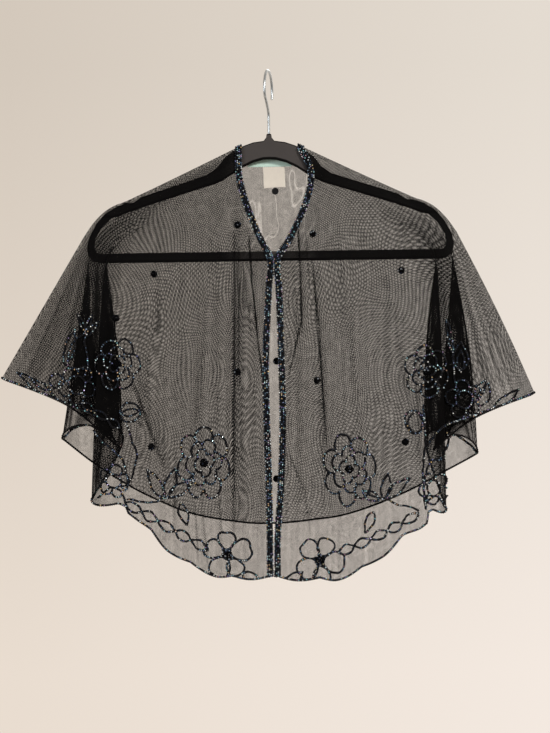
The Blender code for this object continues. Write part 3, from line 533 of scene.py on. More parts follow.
def flock_finish():
    """The hanger's short flock: near black, with painted light greying its middle and painted shade along
    its edges.
    """
    paint = Paint("grey_flock", Specular_IOR_Level=0.10, Sheen_Weight=0.04, Sheen_Roughness=0.5)
    fibre = paint.noise(2600.0, 3.0)
    cloud = paint.noise(28.0, 3.0)
    across = paint.along("X").math("ABSOLUTE")
    # Painted light: the middle near the neck is lit grey, while the arms, shaded under the net, stay near
    # black
    lit_middle = paint.step(across, 0.034, 0.062, 1.0, 0.0)
    reach = across * (1.0 / (HANGER_RULE * MM))
    edges = []
    for table in (HANGER_LOWER_EDGE, HANGER_UPPER_EDGE):
        stops = [(x / HANGER_RULE, (-z / HANGER_RULE,) * 3) for x, z in table]
        edges.append(paint.node("ShaderNodeValToRGB", {"stops": stops}, {"Fac": reach}))
    lower_edge, upper_edge = edges
    height = paint.along("Z") * (1.0 / MM)
    above = (height + lower_edge * HANGER_RULE - HANGER_DARK_EDGE * 0.4).math("ABSOLUTE")
    above_bar = (height - (HANGER_BAR_FOOT_Z + HANGER_DARK_EDGE * 0.4)).math("ABSOLUTE")
    below_top = (height + upper_edge * HANGER_RULE).math("ABSOLUTE") * 1.4
    near = above.math("MINIMUM", above_bar).math("MINIMUM", below_top)
    # Painted shade: a dark strip along the lower edge and the bar's foot, where the underside is shaded,
    # and a dark line along the upper edge
    rim = paint.step(near, HANGER_DARK_EDGE * 0.45, HANGER_DARK_EDGE * 0.8, 1.0, 0.0)
    mixed = fibre * 0.55 + cloud * 0.45
    arm_black = paint.between(mixed, colour(0.0050, 0.0047, 0.0047), colour(0.0170, 0.0160, 0.0160))
    painted_lit_grey = paint.between(mixed, colour(0.046, 0.041, 0.040), colour(0.088, 0.080, 0.078))
    open_face = paint.between(lit_middle, arm_black, painted_lit_grey)
    paint.feed("Base Color", paint.between(rim, open_face, colour(0.0015, 0.0014, 0.0014)))
    paint.feed("Roughness", paint.step(cloud, 0.3, 0.7, 0.78, 0.92))
    paint.bump(fibre, 0.0003, 0.5)
    return paint.material


def chrome_finish():
    """Bright wire with faint drawing marks."""
    paint = Paint("bright_wire", Metallic=1.0)
    marks = paint.noise(700.0, 3.0)
    paint.feed("Base Color", paint.between(marks, colour(0.48, 0.52, 0.55), colour(0.62, 0.66, 0.68)))
    paint.feed("Roughness", paint.step(marks, 0.2, 0.8, 0.30, 0.42))
    return paint.material


def ribbon_finish(name, dark, light, threads, sheen):
    """Woven label: fine warp and weft in colour and relief."""
    paint = Paint(name, Specular_IOR_Level=sheen, Roughness=0.55)
    warp = (paint.along("X") * (math.tau * threads)).math("SINE")
    weft = (paint.along("Z") * (math.tau * threads * 1.35)).math("SINE")
    weave = warp * weft * 0.5 + 0.5
    cloud = paint.noise(160.0, 3.0)
    paint.feed("Base Color", paint.between(weave * 0.4 + cloud * 0.6, dark, light))
    paint.bump(weave, 0.00008, 0.5)
    return paint.material


def tab_finish():
    """Smooth black plastic with a fine grain."""
    paint = Paint("black_tab", Specular_IOR_Level=0.2)
    grain = paint.noise(1200.0, 2.0)
    paint.feed("Base Color", paint.between(grain, colour(0.003, 0.003, 0.004), colour(0.008, 0.008, 0.009)))
    paint.feed("Roughness", paint.step(grain, 0.3, 0.7, 0.34, 0.5))
    paint.bump(grain, 0.00005, 0.4)
    return paint.material


def floor_finish():
    """A plain pale floor, slightly uneven in tone."""
    paint = Paint("pale_floor", Specular_IOR_Level=0.2, Roughness=0.8)
    cloud = paint.noise(3.0, 3.0)
    paint.feed("Base Color", paint.between(cloud, colour(0.70, 0.63, 0.55), colour(0.74, 0.67, 0.59)))
    return paint.material


# The form of the cloth

def hermite(start, start_slope, end, end_slope, t):
    return (start * (2 * t ** 3 - 3 * t ** 2 + 1) + start_slope * (t ** 3 - 2 * t ** 2 + t)
            + end * (3 * t ** 2 - 2 * t ** 3) + end_slope * (t ** 3 - t ** 2))


def reach_along(points):
    """How far along a run of points each of them lies."""
    reach = [0.0]
    for before, after in zip(points, points[1:]):
        reach.append(reach[-1] + (after - before).length)
    return reach


def even_steps(points, spacing):
    """Even steps along a run of points: which stretch, the share of it, and the way so far."""
    reach = reach_along(points)
    count = max(int(reach[-1] / spacing), 1)
    k = 0
    for step in range(count + 1):
        goal = reach[-1] * step / count
        while k < len(points) - 2 and reach[k + 1] < goal:
            k += 1
        span = max(reach[k + 1] - reach[k], 1e-6)
        yield k, min(max((goal - reach[k]) / span, 0.0), 1.0), goal


def smooth_path(points, t):
    """A point on the smooth curve through points, t running from 0 to 1 by length."""
    knots = [Vector(p) for p in points]
    reach = reach_along(knots)
    place = min(max(t, 0.0), 1.0) * reach[-1]
    i = max(k for k in range(len(knots) - 1) if reach[k] <= place)
    span = reach[i + 1] - reach[i]

    def slope(k):
        low = max(k - 1, 0)
        high = min(k + 1, len(knots) - 1)
        return (knots[high] - knots[low]) * (span / (reach[high] - reach[low]))

    return hermite(knots[i], slope(i), knots[i + 1], slope(i + 1), (place - reach[i]) / span)


def monotone_slope(before, after):
    """A slope between two others that never overshoots."""
    if before * after <= 0:
        return 0.0
    return 2.0 * before * after / (before + after)


def shift_aside(points, t, distance):
    """A place at a distance beside the smooth curve through flat points."""
    step = 0.01
    ahead = smooth_path(points, t + step) - smooth_path(points, t - step)
    ahead.normalize()
    here = smooth_path(points, t)
    return here + Vector((-ahead[1], ahead[0])) * distance


def band_path(side):
    """The middle line of a band, and the share of it that runs along the neck."""
    neck, edge = (LEFT_NECK, LEFT_EDGE) if side < 0 else (RIGHT_NECK, RIGHT_EDGE)
    path = neck + edge
    lengths = [math.dist(a, b) for a, b in zip(path, path[1:])]
    return path, sum(lengths[:len(neck) - 1]) / sum(lengths)


def neck_point(side, half, share):
    """Where the cloth meets its band, at a share of the neck from the shoulder."""
    path, neck_share = band_path(side)
    if share == 0.0:
        return Vector((path[0][0] + side * (BAND_TO_CLOTH + SEAM_GAP), 0.0, RIDGE[0][1]))
    if half == "front":
        flat = shift_aside(path, share * neck_share, BAND_TO_CLOTH * side)
        return Vector((flat[0], -CLOTH_TO_HANGER, flat[1]))
    place = share if side < 0 else 1.0 - share
    middle = smooth_path(BACK_NECK, place)
    flat = shift_aside(BACK_NECK_FLAT, place, -BAND_TO_CLOTH)
    return Vector((flat[0], middle[1], flat[1]))


def ridge_bend(side, t):
    """How far the shoulder ridge lies off the straight line between its ends."""
    flat = smooth_path(RIDGE, t) - Vector(RIDGE[0]).lerp(Vector(RIDGE[-1]), t)
    return Vector((side * flat[0], 0.0, flat[1]))


def upper_run(side, half, line, t):
    neck = neck_point(side, half, line.neck)
    fall = Vector((line.fall_x, line.fall_y, line.fall_z))
    place = neck.lerp(fall, t) + ridge_bend(side, t) * line.arc
    place.y = neck.y + (fall.y - neck.y) * t ** LATE_STAND_OFF
    return place


def lower_run(line, t):
    fall = Vector((line.fall_x, line.fall_y, line.fall_z))
    hem = Vector((line.hem_x, line.hem_y, line.hem_z))
    return fall.lerp(hem, t) + Vector((line.bow * math.sin(math.pi * t), 0.0, 0.0))


def open_edge(side, line, v):
    """The front edge of a front, along its band."""
    path, neck_share = band_path(side)
    flat = shift_aside(path, neck_share + (1 - neck_share) * v, BAND_TO_CLOTH * side)
    late = min(v / FALL_AT, 1.0) ** LATE_STAND_OFF
    depth = -CLOTH_TO_HANGER + (line.fall_y + CLOTH_TO_HANGER) * late
    depth += (line.hem_y - line.fall_y) * max(0.0, (v - FALL_AT) / (1 - FALL_AT))
    return Vector((flat[0], depth, flat[1]))


def line_point(side, half, line, v):
    if line.name == "front edge":
        return open_edge(side, line, v)
    reach = 0.0 if line.name.startswith("ridge") else FALL_ROUNDING
    if abs(v - FALL_AT) < reach:
        start = upper_run(side, half, line, (FALL_AT - reach) / FALL_AT)
        middle = upper_run(side, half, line, 1.0)
        end = lower_run(line, reach / (1 - FALL_AT))
        t = (v - FALL_AT + reach) / (2 * reach)
        return start.lerp(middle, t).lerp(middle.lerp(end, t), t)
    if v < FALL_AT:
        return upper_run(side, half, line, v / FALL_AT)
    return lower_run(line, (v - FALL_AT) / (1 - FALL_AT))


def fold_push(folds, x, z):
    """How far soft folds push the cloth outwards at one place, and how much it bunches there."""
    push = 0.0
    bunch = 0.0
    for fold in folds:
        down = (fold.top_z - z) / (fold.top_z - fold.low_z)
        fine = isinstance(fold, Crease)
        if down <= 0.0 or (fine and down >= 1.0):
            continue
        reach = min(down, 1.3)
        middle = fold.top_x + (fold.low_x - fold.top_x) * reach
        width = fold.half_width * (1.0 if fine else 0.6 + 0.5 * reach)
        off = (x - middle) / width
        if abs(off) > 3.0:
            continue
        swell = math.exp(-off * off)
        if fine:
            swell *= math.sin(math.pi * down) ** 0.5
            push += fold.rise * swell
            bunch += fold.dark * swell
        else:
            push += fold.rise * swell * min(1.0, down * 2.5)
    return push, bunch


def closer_at_folds(t, fold_before, fold_after):
    """Draws columns together towards a fold."""
    if fold_before and fold_after:
        return (1 - math.cos(math.pi * t)) / 2
    if fold_before:
        return 1 - math.cos(math.pi / 2 * t)
    if fold_after:
        return math.sin(math.pi / 2 * t)
    return t


def eased(value, low, high):
    """A smooth step from 0 to 1 of a value between two others."""
    t = min(max((value - low) / (high - low), 0.0), 1.0)
    return t * t * (3.0 - 2.0 * t)


def streak(waves, arc):
    return sum(size * math.sin(arc * rate + phase) for rate, phase, size in waves)


def row_places(above, below):
    """Rows down a piece: so many above its fall and so many from there to the hem."""
    upper = [FALL_AT * k / above for k in range(above)]
    return upper + [FALL_AT + (1 - FALL_AT) * k / below for k in range(below + 1)]


class Panel:
    """One piece of net: its lines, its folds, and the sheet laid on them."""

    def __init__(self, name, halves, pleats, creases, pleat_side, net_turn, body_dense, wing_dense, seed):
        self.name = name
        self.lines = [line for side, half, lines in halves for line in lines]
        self.names = [line.name for line in self.lines]
        self.flute = self.names.index("front flute") if "front flute" in self.names else 0
        self.halves = [(side, half) for side, half, lines in halves for line in lines]
        self.pleats = pleats
        self.creases = creases
        self.pleat_side = pleat_side
        self.net_turn = math.radians(net_turn)
        self.body_dense = body_dense
        self.wing_dense = wing_dense
        dice = random.Random(seed)
        self.streaks = [(math.tau / dice.uniform(5.0, 24.0), dice.uniform(0, math.tau),
                         dice.uniform(0.2, 1.0)) for _ in range(9)]

    def column_places(self, seam_start, seam_end):
        """Where the columns lie across the piece, counted in lines."""
        places = []
        for i, line in enumerate(self.lines[:-1]):
            turns = line.fold, self.lines[i + 1].fold
            columns = line.columns * FINER if line.hem_y < WELL_FORWARD else line.columns
            places += [i + closer_at_folds(k / columns, *turns) for k in range(columns)]
        places.append(float(len(self.lines) - 1))
        places[0] += seam_start
        places[-1] -= seam_end
        return places

    def row(self, v):
        """The points of one row across the piece, before its folds."""
        last = len(self.lines) - 1
        knots = [line_point(*self.halves[k], self.lines[k], v) for k in range(last + 1)]
        slopes = []
        for k in range(last + 1):
            slope = Vector()
            for axis in range(3):
                before = knots[k][axis] - knots[k - 1][axis] if k else knots[1][axis] - knots[0][axis]
                after = knots[k + 1][axis] - knots[k][axis] if k < last else before
                slope[axis] = monotone_slope(before, after)
                if axis == 1 and self.lines[k].fold:
                    roundness = RIDGE_ROUNDNESS
                    if self.names[k] != "ridge":
                        roundness = 1.0 + (FOLD_ROUNDNESS - 1.0) * min(v / FALL_AT, 1.0) ** 2
                    slope[axis] = math.copysign(min(abs(before), abs(after)) * roundness, before + after)
            slopes.append(slope)
        points = []
        for u in self.places:
            i = min(int(u), last - 1)
            t = u - i
            place = hermite(knots[i], slopes[i], knots[i + 1], slopes[i + 1], t)
            if v < NECK_FIT:
                place += self.neck_gap(i, t) * (1 - v / NECK_FIT) ** 2
            place.z -= self.scallop(u, v) - self.hem_arch(i, t, v)
            points.append(place)
        return points

    def neck_gap(self, i, t):
        """How far the curve of the neck lies off the straight stretch between two lines."""
        first, second = self.lines[i], self.lines[i + 1]
        if "ridge" in (first.name, second.name):
            return Vector()
        side, half = self.halves[i] if first.name != "back middle" else self.halves[i + 1]
        share = first.neck + (second.neck - first.neck) * t
        straight = neck_point(side, half, first.neck).lerp(neck_point(side, half, second.neck), t)
        return neck_point(side, half, share) - straight

    def scallop(self, u, v):
        """How far the hem hangs below its lines: in scallops, and more just past the flute."""
        scallops_from = 1 - SCALLOP_SHARE
        if not self.flute or v < scallops_from or u <= self.flute:
            return 0.0
        along = (u - self.flute) / (len(self.lines) - 1 - self.flute)
        past = u - self.flute - 1.0
        drop = SCALLOP_DEPTH * abs(math.sin(math.pi * SCALLOPS_ON_A_FRONT * along))
        drop += CORNER_DROP[self.name] * eased(past, -0.05, 0.04) * (1.0 - eased(past, 0.15, 0.7))
        return drop * (v - scallops_from) / SCALLOP_SHARE

    def hem_arch(self, i, t, v):
        """The hem of the inner layer at the side bows up between its two folds."""
        low = (v - (1 - ARCH_SHARE)) / ARCH_SHARE
        if {self.names[i], self.names[i + 1]} != {"inner fold", "back flute"} or low < 0.0:
            return 0.0
        return ARCH_HEIGHT * math.sin(math.pi * t) * low ** 2

    def build(self, rows, seam_start, seam_end, material):
        """Lays every row and makes the sheet."""
        self.places = self.column_places(seam_start, seam_end)
        self.grid = [self.dressed_row(v) for v in rows]
        return self.lay_sheet(material)

    def dressed_row(self, v):
        """One row of places with their folds, each with how densely the net is bunched there."""
        points = self.row(v)
        arcs = [0.0]
        for before, after in zip(points, points[1:]):
            arcs.append(arcs[-1] + math.hypot(after.x - before.x, after.y - before.y))
        fold_arcs = [arc for u, arc in zip(self.places, arcs) if u == int(u) and self.lines[int(u)].fold]
        start = arcs[-1] if self.flute else arcs[self.places.index(self.names.index("back middle"))]
        line = []
        for u, point, arc in zip(self.places, points, arcs):
            pleat_push = fold_push(self.pleats, point.x, point.z)[0]
            creases = self.creases if u >= self.flute else WING_CREASES
            crease_push, bunch = fold_push(creases, point.x, point.z)
            edge = sum(math.exp(-((arc - fold_arc) / FOLD_REACH) ** 2) for fold_arc in fold_arcs)
            place = point.copy()
            place.y += self.pleat_side * (pleat_push + crease_push)
            line.append((place, bunch + self.density(u, v, arc - start, edge)))
        return line

    def density(self, u, v, arc, edge):
        """How densely the net lies at a place, apart from its creases."""
        fallen = min(1.0, v / FALL_AT) ** 4
        wing = self.wing_share(u)
        streaks = streak(self.streaks, arc) * (1.0 - wing)
        streaks += WING_STREAK_GAIN * streak(self.streaks, WING_STREAKS * u) * wing
        thinner = HIDDEN_THINNER_FRONT if self.flute else HIDDEN_THINNER_BACK
        hidden = self.return_share(u) * fallen * (1.0 - thinner * max(0.0, (v - 0.75) / 0.25))
        dense = self.body_dense + self.wing_dense * wing + STREAK_DENSE * streaks * min(v / 0.3, 1.0)
        dense += FOLD_DENSE * edge * fallen + HIDDEN_DENSE * hidden
        return dense - HEM_THINNER * max(0.0, (v - 0.8) / 0.2)

    def wing_share(self, u):
        """1 in the middle of a wing, 0 outside it."""
        share = 0.0
        for i, line in enumerate(self.lines):
            if line.name in ("wing front", "wing back"):
                share = max(share, min(1.0, 2.0 * (1.0 - abs(u - i))))
        return share

    def return_share(self, u):
        """1 along the hidden layer that runs back from an inner fold, and less beside that fold."""
        share = 0.0
        for i, line in enumerate(self.lines):
            if line.name == "inner fold":
                share = max(share, 1.0 - 0.8 * abs(u - i))
            if line.name in ("front flute", "back flute"):
                share = max(share, 0.9 - 1.6 * abs(u - i))
        return share

    def lay_sheet(self, material):
        """The mesh of the sheet, with its net coordinates and density at each point."""
        bm = bmesh.new()
        columns, rows = len(self.grid[0]), len(self.grid)
        bmesh.ops.create_grid(bm, x_segments=columns - 1, y_segments=rows - 1, size=0.5)
        net = bm.loops.layers.uv.new("net")
        dense_layer = bm.verts.layers.float.new("dense")
        where = {}
        for vertex in bm.verts:
            column = round((vertex.co.x + 0.5) * (columns - 1))
            row = round((vertex.co.y + 0.5) * (rows - 1))
            place, dense = self.grid[row][column]
            vertex.co = place * MM
            vertex[dense_layer] = dense
            where[vertex] = self.net_place(place)
        for face in bm.faces:
            for loop in face.loops:
                loop[net].uv = where[loop.vert]
        bm.normal_update()
        facing = sum(face.normal.y for face in bm.faces)
        if facing * self.pleat_side < 0:
            bmesh.ops.reverse_faces(bm, faces=bm.faces)
        return smooth_piece(bm, self.name, material)

    def net_place(self, place):
        """Where a point lies in the net's own yarn directions, in mm, gently skewed by the hang."""
        across = place.x + 0.8 * place.y
        down = -place.z + 0.5 * place.y
        skew = 2.6 * math.sin(down / 33.0 + across / 52.0) + 1.4 * math.sin(across / 19.0 + down / 47.0)
        drop = 2.2 * math.sin(across / 41.0 + 1.3) + 1.2 * math.sin(down / 23.0 - across / 31.0)
        a, b = across + skew * self.pleat_side, down + drop * self.pleat_side
        c, s = math.cos(self.net_turn), math.sin(self.net_turn)
        return a * c - b * s, a * s + b * c


# Making pieces

def smooth_piece(bm, name, material):
    """A smooth piece in one material, made from a finished bmesh."""
    mesh = bpy.data.meshes.new(name)
    bm.to_mesh(mesh)
    bm.free()
    mesh.materials.append(material)
    mesh.shade_smooth()
    return bpy.data.objects.new(name, mesh)


def thicken(thing, thickness):
    """Gives a sheet its thickness, half to each side."""
    solid = thing.modifiers.new("thickness", "SOLIDIFY")
    solid.thickness = thickness * MM
    solid.offset = 0.0
    return thing


def put_in_scene(thing):
    """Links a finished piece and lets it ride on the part."""
    bpy.context.scene.collection.objects.link(thing)
    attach(thing, "root")
    return thing


def tubes(name, runs, material, sides=2):
    """Round threads or wires, each a run of points with a radius for every point."""
    wire = bpy.data.curves.new(name + "_path", "CURVE")
    wire.dimensions = "3D"
    wire.bevel_depth = MM
    wire.bevel_resolution = sides
    wire.use_fill_caps = True
    for points, radii in runs:
        spline = wire.splines.new("POLY")
        spline.points.add(len(points) - 1)
        for end, point, radius in zip(spline.points, points, radii):
            end.co = (*(Vector(point) * MM), 1.0)
            end.radius = radius
    guide = bpy.data.objects.new(name + "_path", wire)
    bpy.context.scene.collection.objects.link(guide)
    bpy.context.view_layer.update()
    mesh = bpy.data.meshes.new_from_object(guide.evaluated_get(bpy.context.evaluated_depsgraph_get()))
    bpy.data.objects.remove(guide)
    mesh.name = name
    mesh.materials.clear()
    mesh.materials.append(material)
    mesh.shade_smooth()
    return bpy.data.objects.new(name, mesh)


class Beads:
    """Collects beads and makes them one joined mesh of small cut forms."""

    def __init__(self, name, seed, loose=1.0):
        self.name = name
        self.dice = random.Random(seed)
        self.loose = loose
        self.rows = []
        self.cords = []

    def spread(self, limit):
        """A random number between a limit and its negative."""
        return self.dice.uniform(-limit, limit)

    def add(self, place, outward, along, radius):
        """A bead at a place in mm; along is the direction of its hole."""
        along = along.normalized()
        outward = (outward - along * outward.dot(along)).normalized()
        wobble = Vector([self.dice.gauss(0, BEAD_LEAN * self.loose) for _ in range(3)])
        outward = (outward + wobble).normalized()
        along = (along - outward * along.dot(outward)).normalized()
        side = along.cross(outward)
        size = radius * self.dice.uniform(0.9, 1.08)
        slip = BEAD_SLIP * self.loose
        nudge = side * self.spread(slip) + along * self.spread(slip) * 0.5
        # The direction of the bead's painted highlight, near its top
        glint_direction = Vector([self.spread(GLINT_OFF_TOP), self.spread(GLINT_OFF_TOP), 1.0]).normalized()
        self.rows.append((place + nudge, along * size * BEAD_SHORTNESS, side * size, outward * size,
                          self.dice.random(), glint_direction))

    def end_cord(self, points):
        """Keeps a couched cord that runs under a line of beads."""
        if len(points) > 1:
            self.cords.append((points, [CORD_RADIUS * self.dice.uniform(0.85, 1.15) for _ in points]))

    def string(self, path, radius, pitch, normals=None):
        """Beads along a path of 3-D points."""
        spare = 0.0
        for k in range(len(path) - 1):
            step = path[k + 1] - path[k]
            length = step.length
            while spare <= length and length > 0:
                t = spare / length
                outward = normals[k] if normals else Vector((0, -1, 0))
                self.add(path[k].lerp(path[k + 1], t) + outward * radius * 0.55, outward, step, radius)
                spare += pitch
            spare -= length

    def build(self, material, segments=7, rings=5):
        """The joined mesh, with each bead's tone and how near its points lie to its painted highlight."""
        form = bmesh.new()
        bmesh.ops.create_uvsphere(form, u_segments=segments, v_segments=rings, radius=1.0)
        turn = Vector((0, 0, 1)).rotation_difference(Vector((1, 0, 0))).to_matrix()
        corners = np.array([turn @ v.co for v in form.verts])
        form.verts.index_update()
        faces = [[v.index for v in face.verts] for face in form.faces]
        form.free()
        frames = np.array([[row[1], row[2], row[3]] for row in self.rows])
        middles = np.array([row[0] for row in self.rows])
        everywhere = (np.einsum("ni,bij->bnj", corners, frames) + middles[:, None, :]).reshape(-1, 3) * MM
        count = len(corners)
        all_faces = [[count * b + k for k in face] for b in range(len(self.rows)) for face in faces]
        mesh = bpy.data.meshes.new(self.name)
        mesh.from_pydata(everywhere.tolist(), [], all_faces)
        tones = mesh.attributes.new("tone", "FLOAT", "POINT")
        tones.data.foreach_set("value", np.repeat([row[4] for row in self.rows], count).astype(np.float32))
        painted_glints = mesh.attributes.new("spot", "FLOAT", "POINT")
        glint_nearness = np.array([row[5] for row in self.rows]) @ corners.T
        painted_glints.data.foreach_set("value", glint_nearness.reshape(-1).astype(np.float32))
        mesh.materials.append(material)
        mesh.update()
        return bpy.data.objects.new(self.name, mesh)


# Bands

def over_the_arm(middle_x, turn_side):
    """The stretch of a band that rolls over the hanger's arm, as stations of middle, across and outward."""
    radius = CLOTH_TO_HANGER + 0.5
    slope = -HANGER_SLOPE_AT_NECK * (1 if middle_x > 0 else -1)
    crown = HANGER_TOP_AT_NECK_Z + SEAM_GAP + 1.6
    stations = []
    for k in range(9):
        angle = math.asin(SEAM_GAP / 2 / radius) + math.radians(80) * k / 8
        drop = radius * (1 - math.cos(angle))
        middle = Vector((middle_x, turn_side * radius * math.sin(angle), crown - drop))
        outward = Vector((0.0, turn_side * math.sin(angle), math.cos(angle)))
        stations.append((middle, Vector((1.0, 0.0, slope * math.cos(angle))), outward))
    return stations


def front_band(side, count=260):
    """The stations of a front's band, down the neck and the front edge."""
    path, neck_share = band_path(side)
    stations = over_the_arm(path[0][0], -1)
    lines = LEFT_FRONT if side < 0 else RIGHT_FRONT
    top = -CLOTH_TO_HANGER - 0.5
    for k in range(2, count + 1):
        share = k / count
        flat = smooth_path(path, share)
        beside = shift_aside(path, share, 1.0) - flat
        down_edge = (share - neck_share) / (1 - neck_share)
        depth = min(top, open_edge(side, lines[-1], max(down_edge, 0.0)).y)
        across = Vector((beside[0], 0.0, beside[1]))
        stations.append((Vector((flat[0], depth, flat[1])), across, Vector((0.0, -1.0, 0.0))))
    return stations


def back_band(count=50):
    """The stations of the band round the back of the neck, from arm to arm."""
    stations = over_the_arm(BACK_NECK[0][0], 1)
    for k in range(1, count):
        share = k / count
        flat = smooth_path(BACK_NECK_FLAT, share)
        beside = shift_aside(BACK_NECK_FLAT, share, 1.0) - flat
        depth = smooth_path(BACK_NECK, share)[1]
        across = Vector((beside[0], 0.0, beside[1]))
        stations.append((Vector((flat[0], depth, flat[1])), across, Vector((0.0, 1.0, 0.0))))
    for middle, across, outward in reversed(over_the_arm(BACK_NECK[-1][0], 1)):
        stations.append((middle, -across, outward))
    return stations


def tape(name, stations, material):
    """The net tape under a band's beads."""
    columns = 5
    bm = bmesh.new()
    bmesh.ops.create_grid(bm, x_segments=len(stations) - 1, y_segments=columns - 1, size=0.5)
    for vertex in bm.verts:
        row = round((vertex.co.x + 0.5) * (len(stations) - 1))
        share = vertex.co.y
        middle, across, _ = stations[row]
        vertex.co = (middle + across.normalized() * share * (BAND_WIDTH - TAPE_NARROWER)) * MM
    bmesh.ops.recalc_face_normals(bm, faces=bm.faces)
    return thicken(smooth_piece(bm, name, material), TAPE_THICKNESS)


def band_beads(beads, stations):
    """Rows of beads side by side along a band."""
    for row in range(BAND_ROWS):
        offset = BAND_ROW_SPACING * (row - (BAND_ROWS - 1) / 2)
        path = [middle + across.normalized() * offset + outward.normalized() * 0.35
                for middle, across, outward in stations]
        normals = [outward.normalized() for _, _, outward in stations]
        beads.string(path, BAND_BEAD_RADIUS, BAND_BEAD_PITCH, normals)


# Hems

def hem_line(panel, rise):
    """Even points along the hem of a panel, raised a little."""
    line = [place for place, _ in panel.grid[-1]]
    up = Vector((0, 0, rise))
    return [line[k].lerp(line[k + 1], t) + up for k, t, _ in even_steps(line, HEM_POINT_SPACING)]


def hem_thread(name, line, radius, material):
    """The rolled, overcast hem: a thread with a knot at every stitch."""
    radii = [radius * HEM_KNOTS[k % 3] for k in range(len(line))]
    return tubes(name, [(line, radii)], material, sides=1)


# Bead work drawn on the cloth

def loop_path(x, z, wide, high, turn, first=0.0, last=360.0, count=40):
    """Part of an ellipse, turned about its middle."""
    c, s = math.cos(math.radians(turn)), math.sin(math.radians(turn))
    path = []
    for k in range(count + 1):
        a = math.radians(first + (last - first) * k / count)
        px, pz = wide * math.cos(a), high * math.sin(a)
        path.append((x + px * c - pz * s, z + px * s + pz * c))
    return path


def on_flower(flower, reach, angle):
    """A place at a share of the flower's reach from its middle."""
    return (flower.x + flower.wide * reach * math.cos(angle),
            flower.z + flower.high * reach * math.sin(angle))


def petal_ring(flower, inner, outer, petals, turn, bulge):
    """Rounded petals side by side round a flower, as one path for each petal."""
    paths = []
    for k in range(petals):
        start = math.radians(turn + 360.0 * k / petals)
        end = math.radians(turn + 360.0 * (k + 1) / petals)
        path = []
        for j in range(25):
            t = j / 24
            a = start + (end - start) * t
            swell = math.sin(math.pi * t) ** 0.55
            reach = inner + (outer - inner) * swell * (1.0 + bulge * math.cos(k * 2.4 + 0.7))
            path.append(on_flower(flower, reach, a))
        paths.append(path)
    return paths


def rose_paths(flower):
    """Three rings of petals, and short lines that join the outer two."""
    paths = petal_ring(flower, 0.72, 1.0, flower.petals, flower.turn, 0.06)
    paths += petal_ring(flower, 0.46, 0.66, flower.petals - 1, flower.turn + 24.0, 0.10)
    paths += petal_ring(flower, 0.24, 0.38, 4, flower.turn + 50.0, 0.08)
    for k in range(0, flower.petals, 2):
        a = math.radians(flower.turn + 360.0 * k / flower.petals)
        paths.append([on_flower(flower, reach, a + 0.1 * (reach - 0.5)) for reach in (0.50, 0.62, 0.74)])
    return paths


def flower_paths(flower):
    """Open petals, each a loop that starts and ends near the flower's middle."""
    paths = []
    for k in range(flower.petals):
        a = math.radians(flower.turn + 360.0 * k / flower.petals + 5.0 * math.sin(k * 2.7))
        swell = 1.0 + 0.12 * math.cos(k * 2.1 + 0.4)
        x, z = on_flower(flower, 0.60, a)
        long, wide = flower.wide * 0.42 * swell, flower.high * 0.45 * swell
        paths.append(petal_path(x, z, long, wide, math.degrees(a)))
    return paths


def petal_path(x, z, long, wide, turn):
    """A petal's edge: round, with a shallow notch at its tip and narrower at its foot."""
    c, s = math.cos(math.radians(turn)), math.sin(math.radians(turn))
    path = []
    for k in range(41):
        a = math.radians(-172.0 + 344.0 * k / 40)
        notch = 1.0 - 0.16 * math.exp(-(a / 0.42) ** 2)
        reach = long * math.cos(a) * notch
        half = wide * math.sin(a) * (0.86 + 0.2 * math.cos(a))
        path.append((x + reach * c - half * s, z + reach * s + half * c))
    return path


def ring_flower_paths(flower):
    """Petals side by side round a ring, each joined to it by a short line."""
    paths = petal_ring(flower, 0.58, 1.0, flower.petals, flower.turn, 0.05)
    paths.append(loop_path(flower.x, flower.z, flower.wide * 0.46, flower.high * 0.46, flower.turn))
    for k in range(flower.petals):
        a = math.radians(flower.turn + 360.0 * k / flower.petals)
        paths.append([on_flower(flower, reach, a) for reach in (0.48, 0.58)])
    return paths


def leaf_paths(leaf):
    """Two edges that meet at the base and the tip."""
    base, tip = Vector((leaf.base_x, leaf.base_z)), Vector((leaf.tip_x, leaf.tip_z))
    side = Vector((-(tip - base)[1], (tip - base)[0])).normalized() * leaf.width / 2
    edges = []
    for sign in (1, -1):
        edges.append([tuple(base.lerp(tip, k / 16) + side * sign * math.sin(math.pi * (k / 16) ** 0.85))
                      for k in range(17)])
    return edges


def chain_paths(chain):
    """Two lines that cross again and again, leaving almond links."""
    paths = []
    for sign in (1, -1):
        path = []
        steps = chain.links * 14
        for k in range(steps + 1):
            t = k / steps
            swing = chain.width / 2 * math.sin(math.pi * chain.links * t) * sign
            path.append(tuple(shift_aside(chain.path, t, swing)))
        paths.append(path)
    return paths


class Cloth:
    """Finds the front of the cloth at a place given by across and height."""

    def __init__(self, panels):
        corners, faces = [], []
        for panel in panels:
            start = len(corners)
            columns = len(panel.grid[0])
            for line in panel.grid:
                corners += [place for place, _ in line]
            for row in range(len(panel.grid) - 1):
                for k in range(columns - 1):
                    a = start + row * columns + k
                    faces.append((a, a + 1, a + columns + 1, a + columns))
        self.tree = BVHTree.FromPolygons(corners, faces)

    def at(self, x, z, facing=-1):
        """The place and the cloth's outward direction there, or None twice where there is no cloth."""
        start = Vector((x, 120.0 * facing, z))
        place, normal = self.tree.ray_cast(start, Vector((0.0, -facing, 0.0)))[:2]
        if place is None:
            return None, None
        if normal.y * facing < 0:
            normal = -normal
        return place, normal


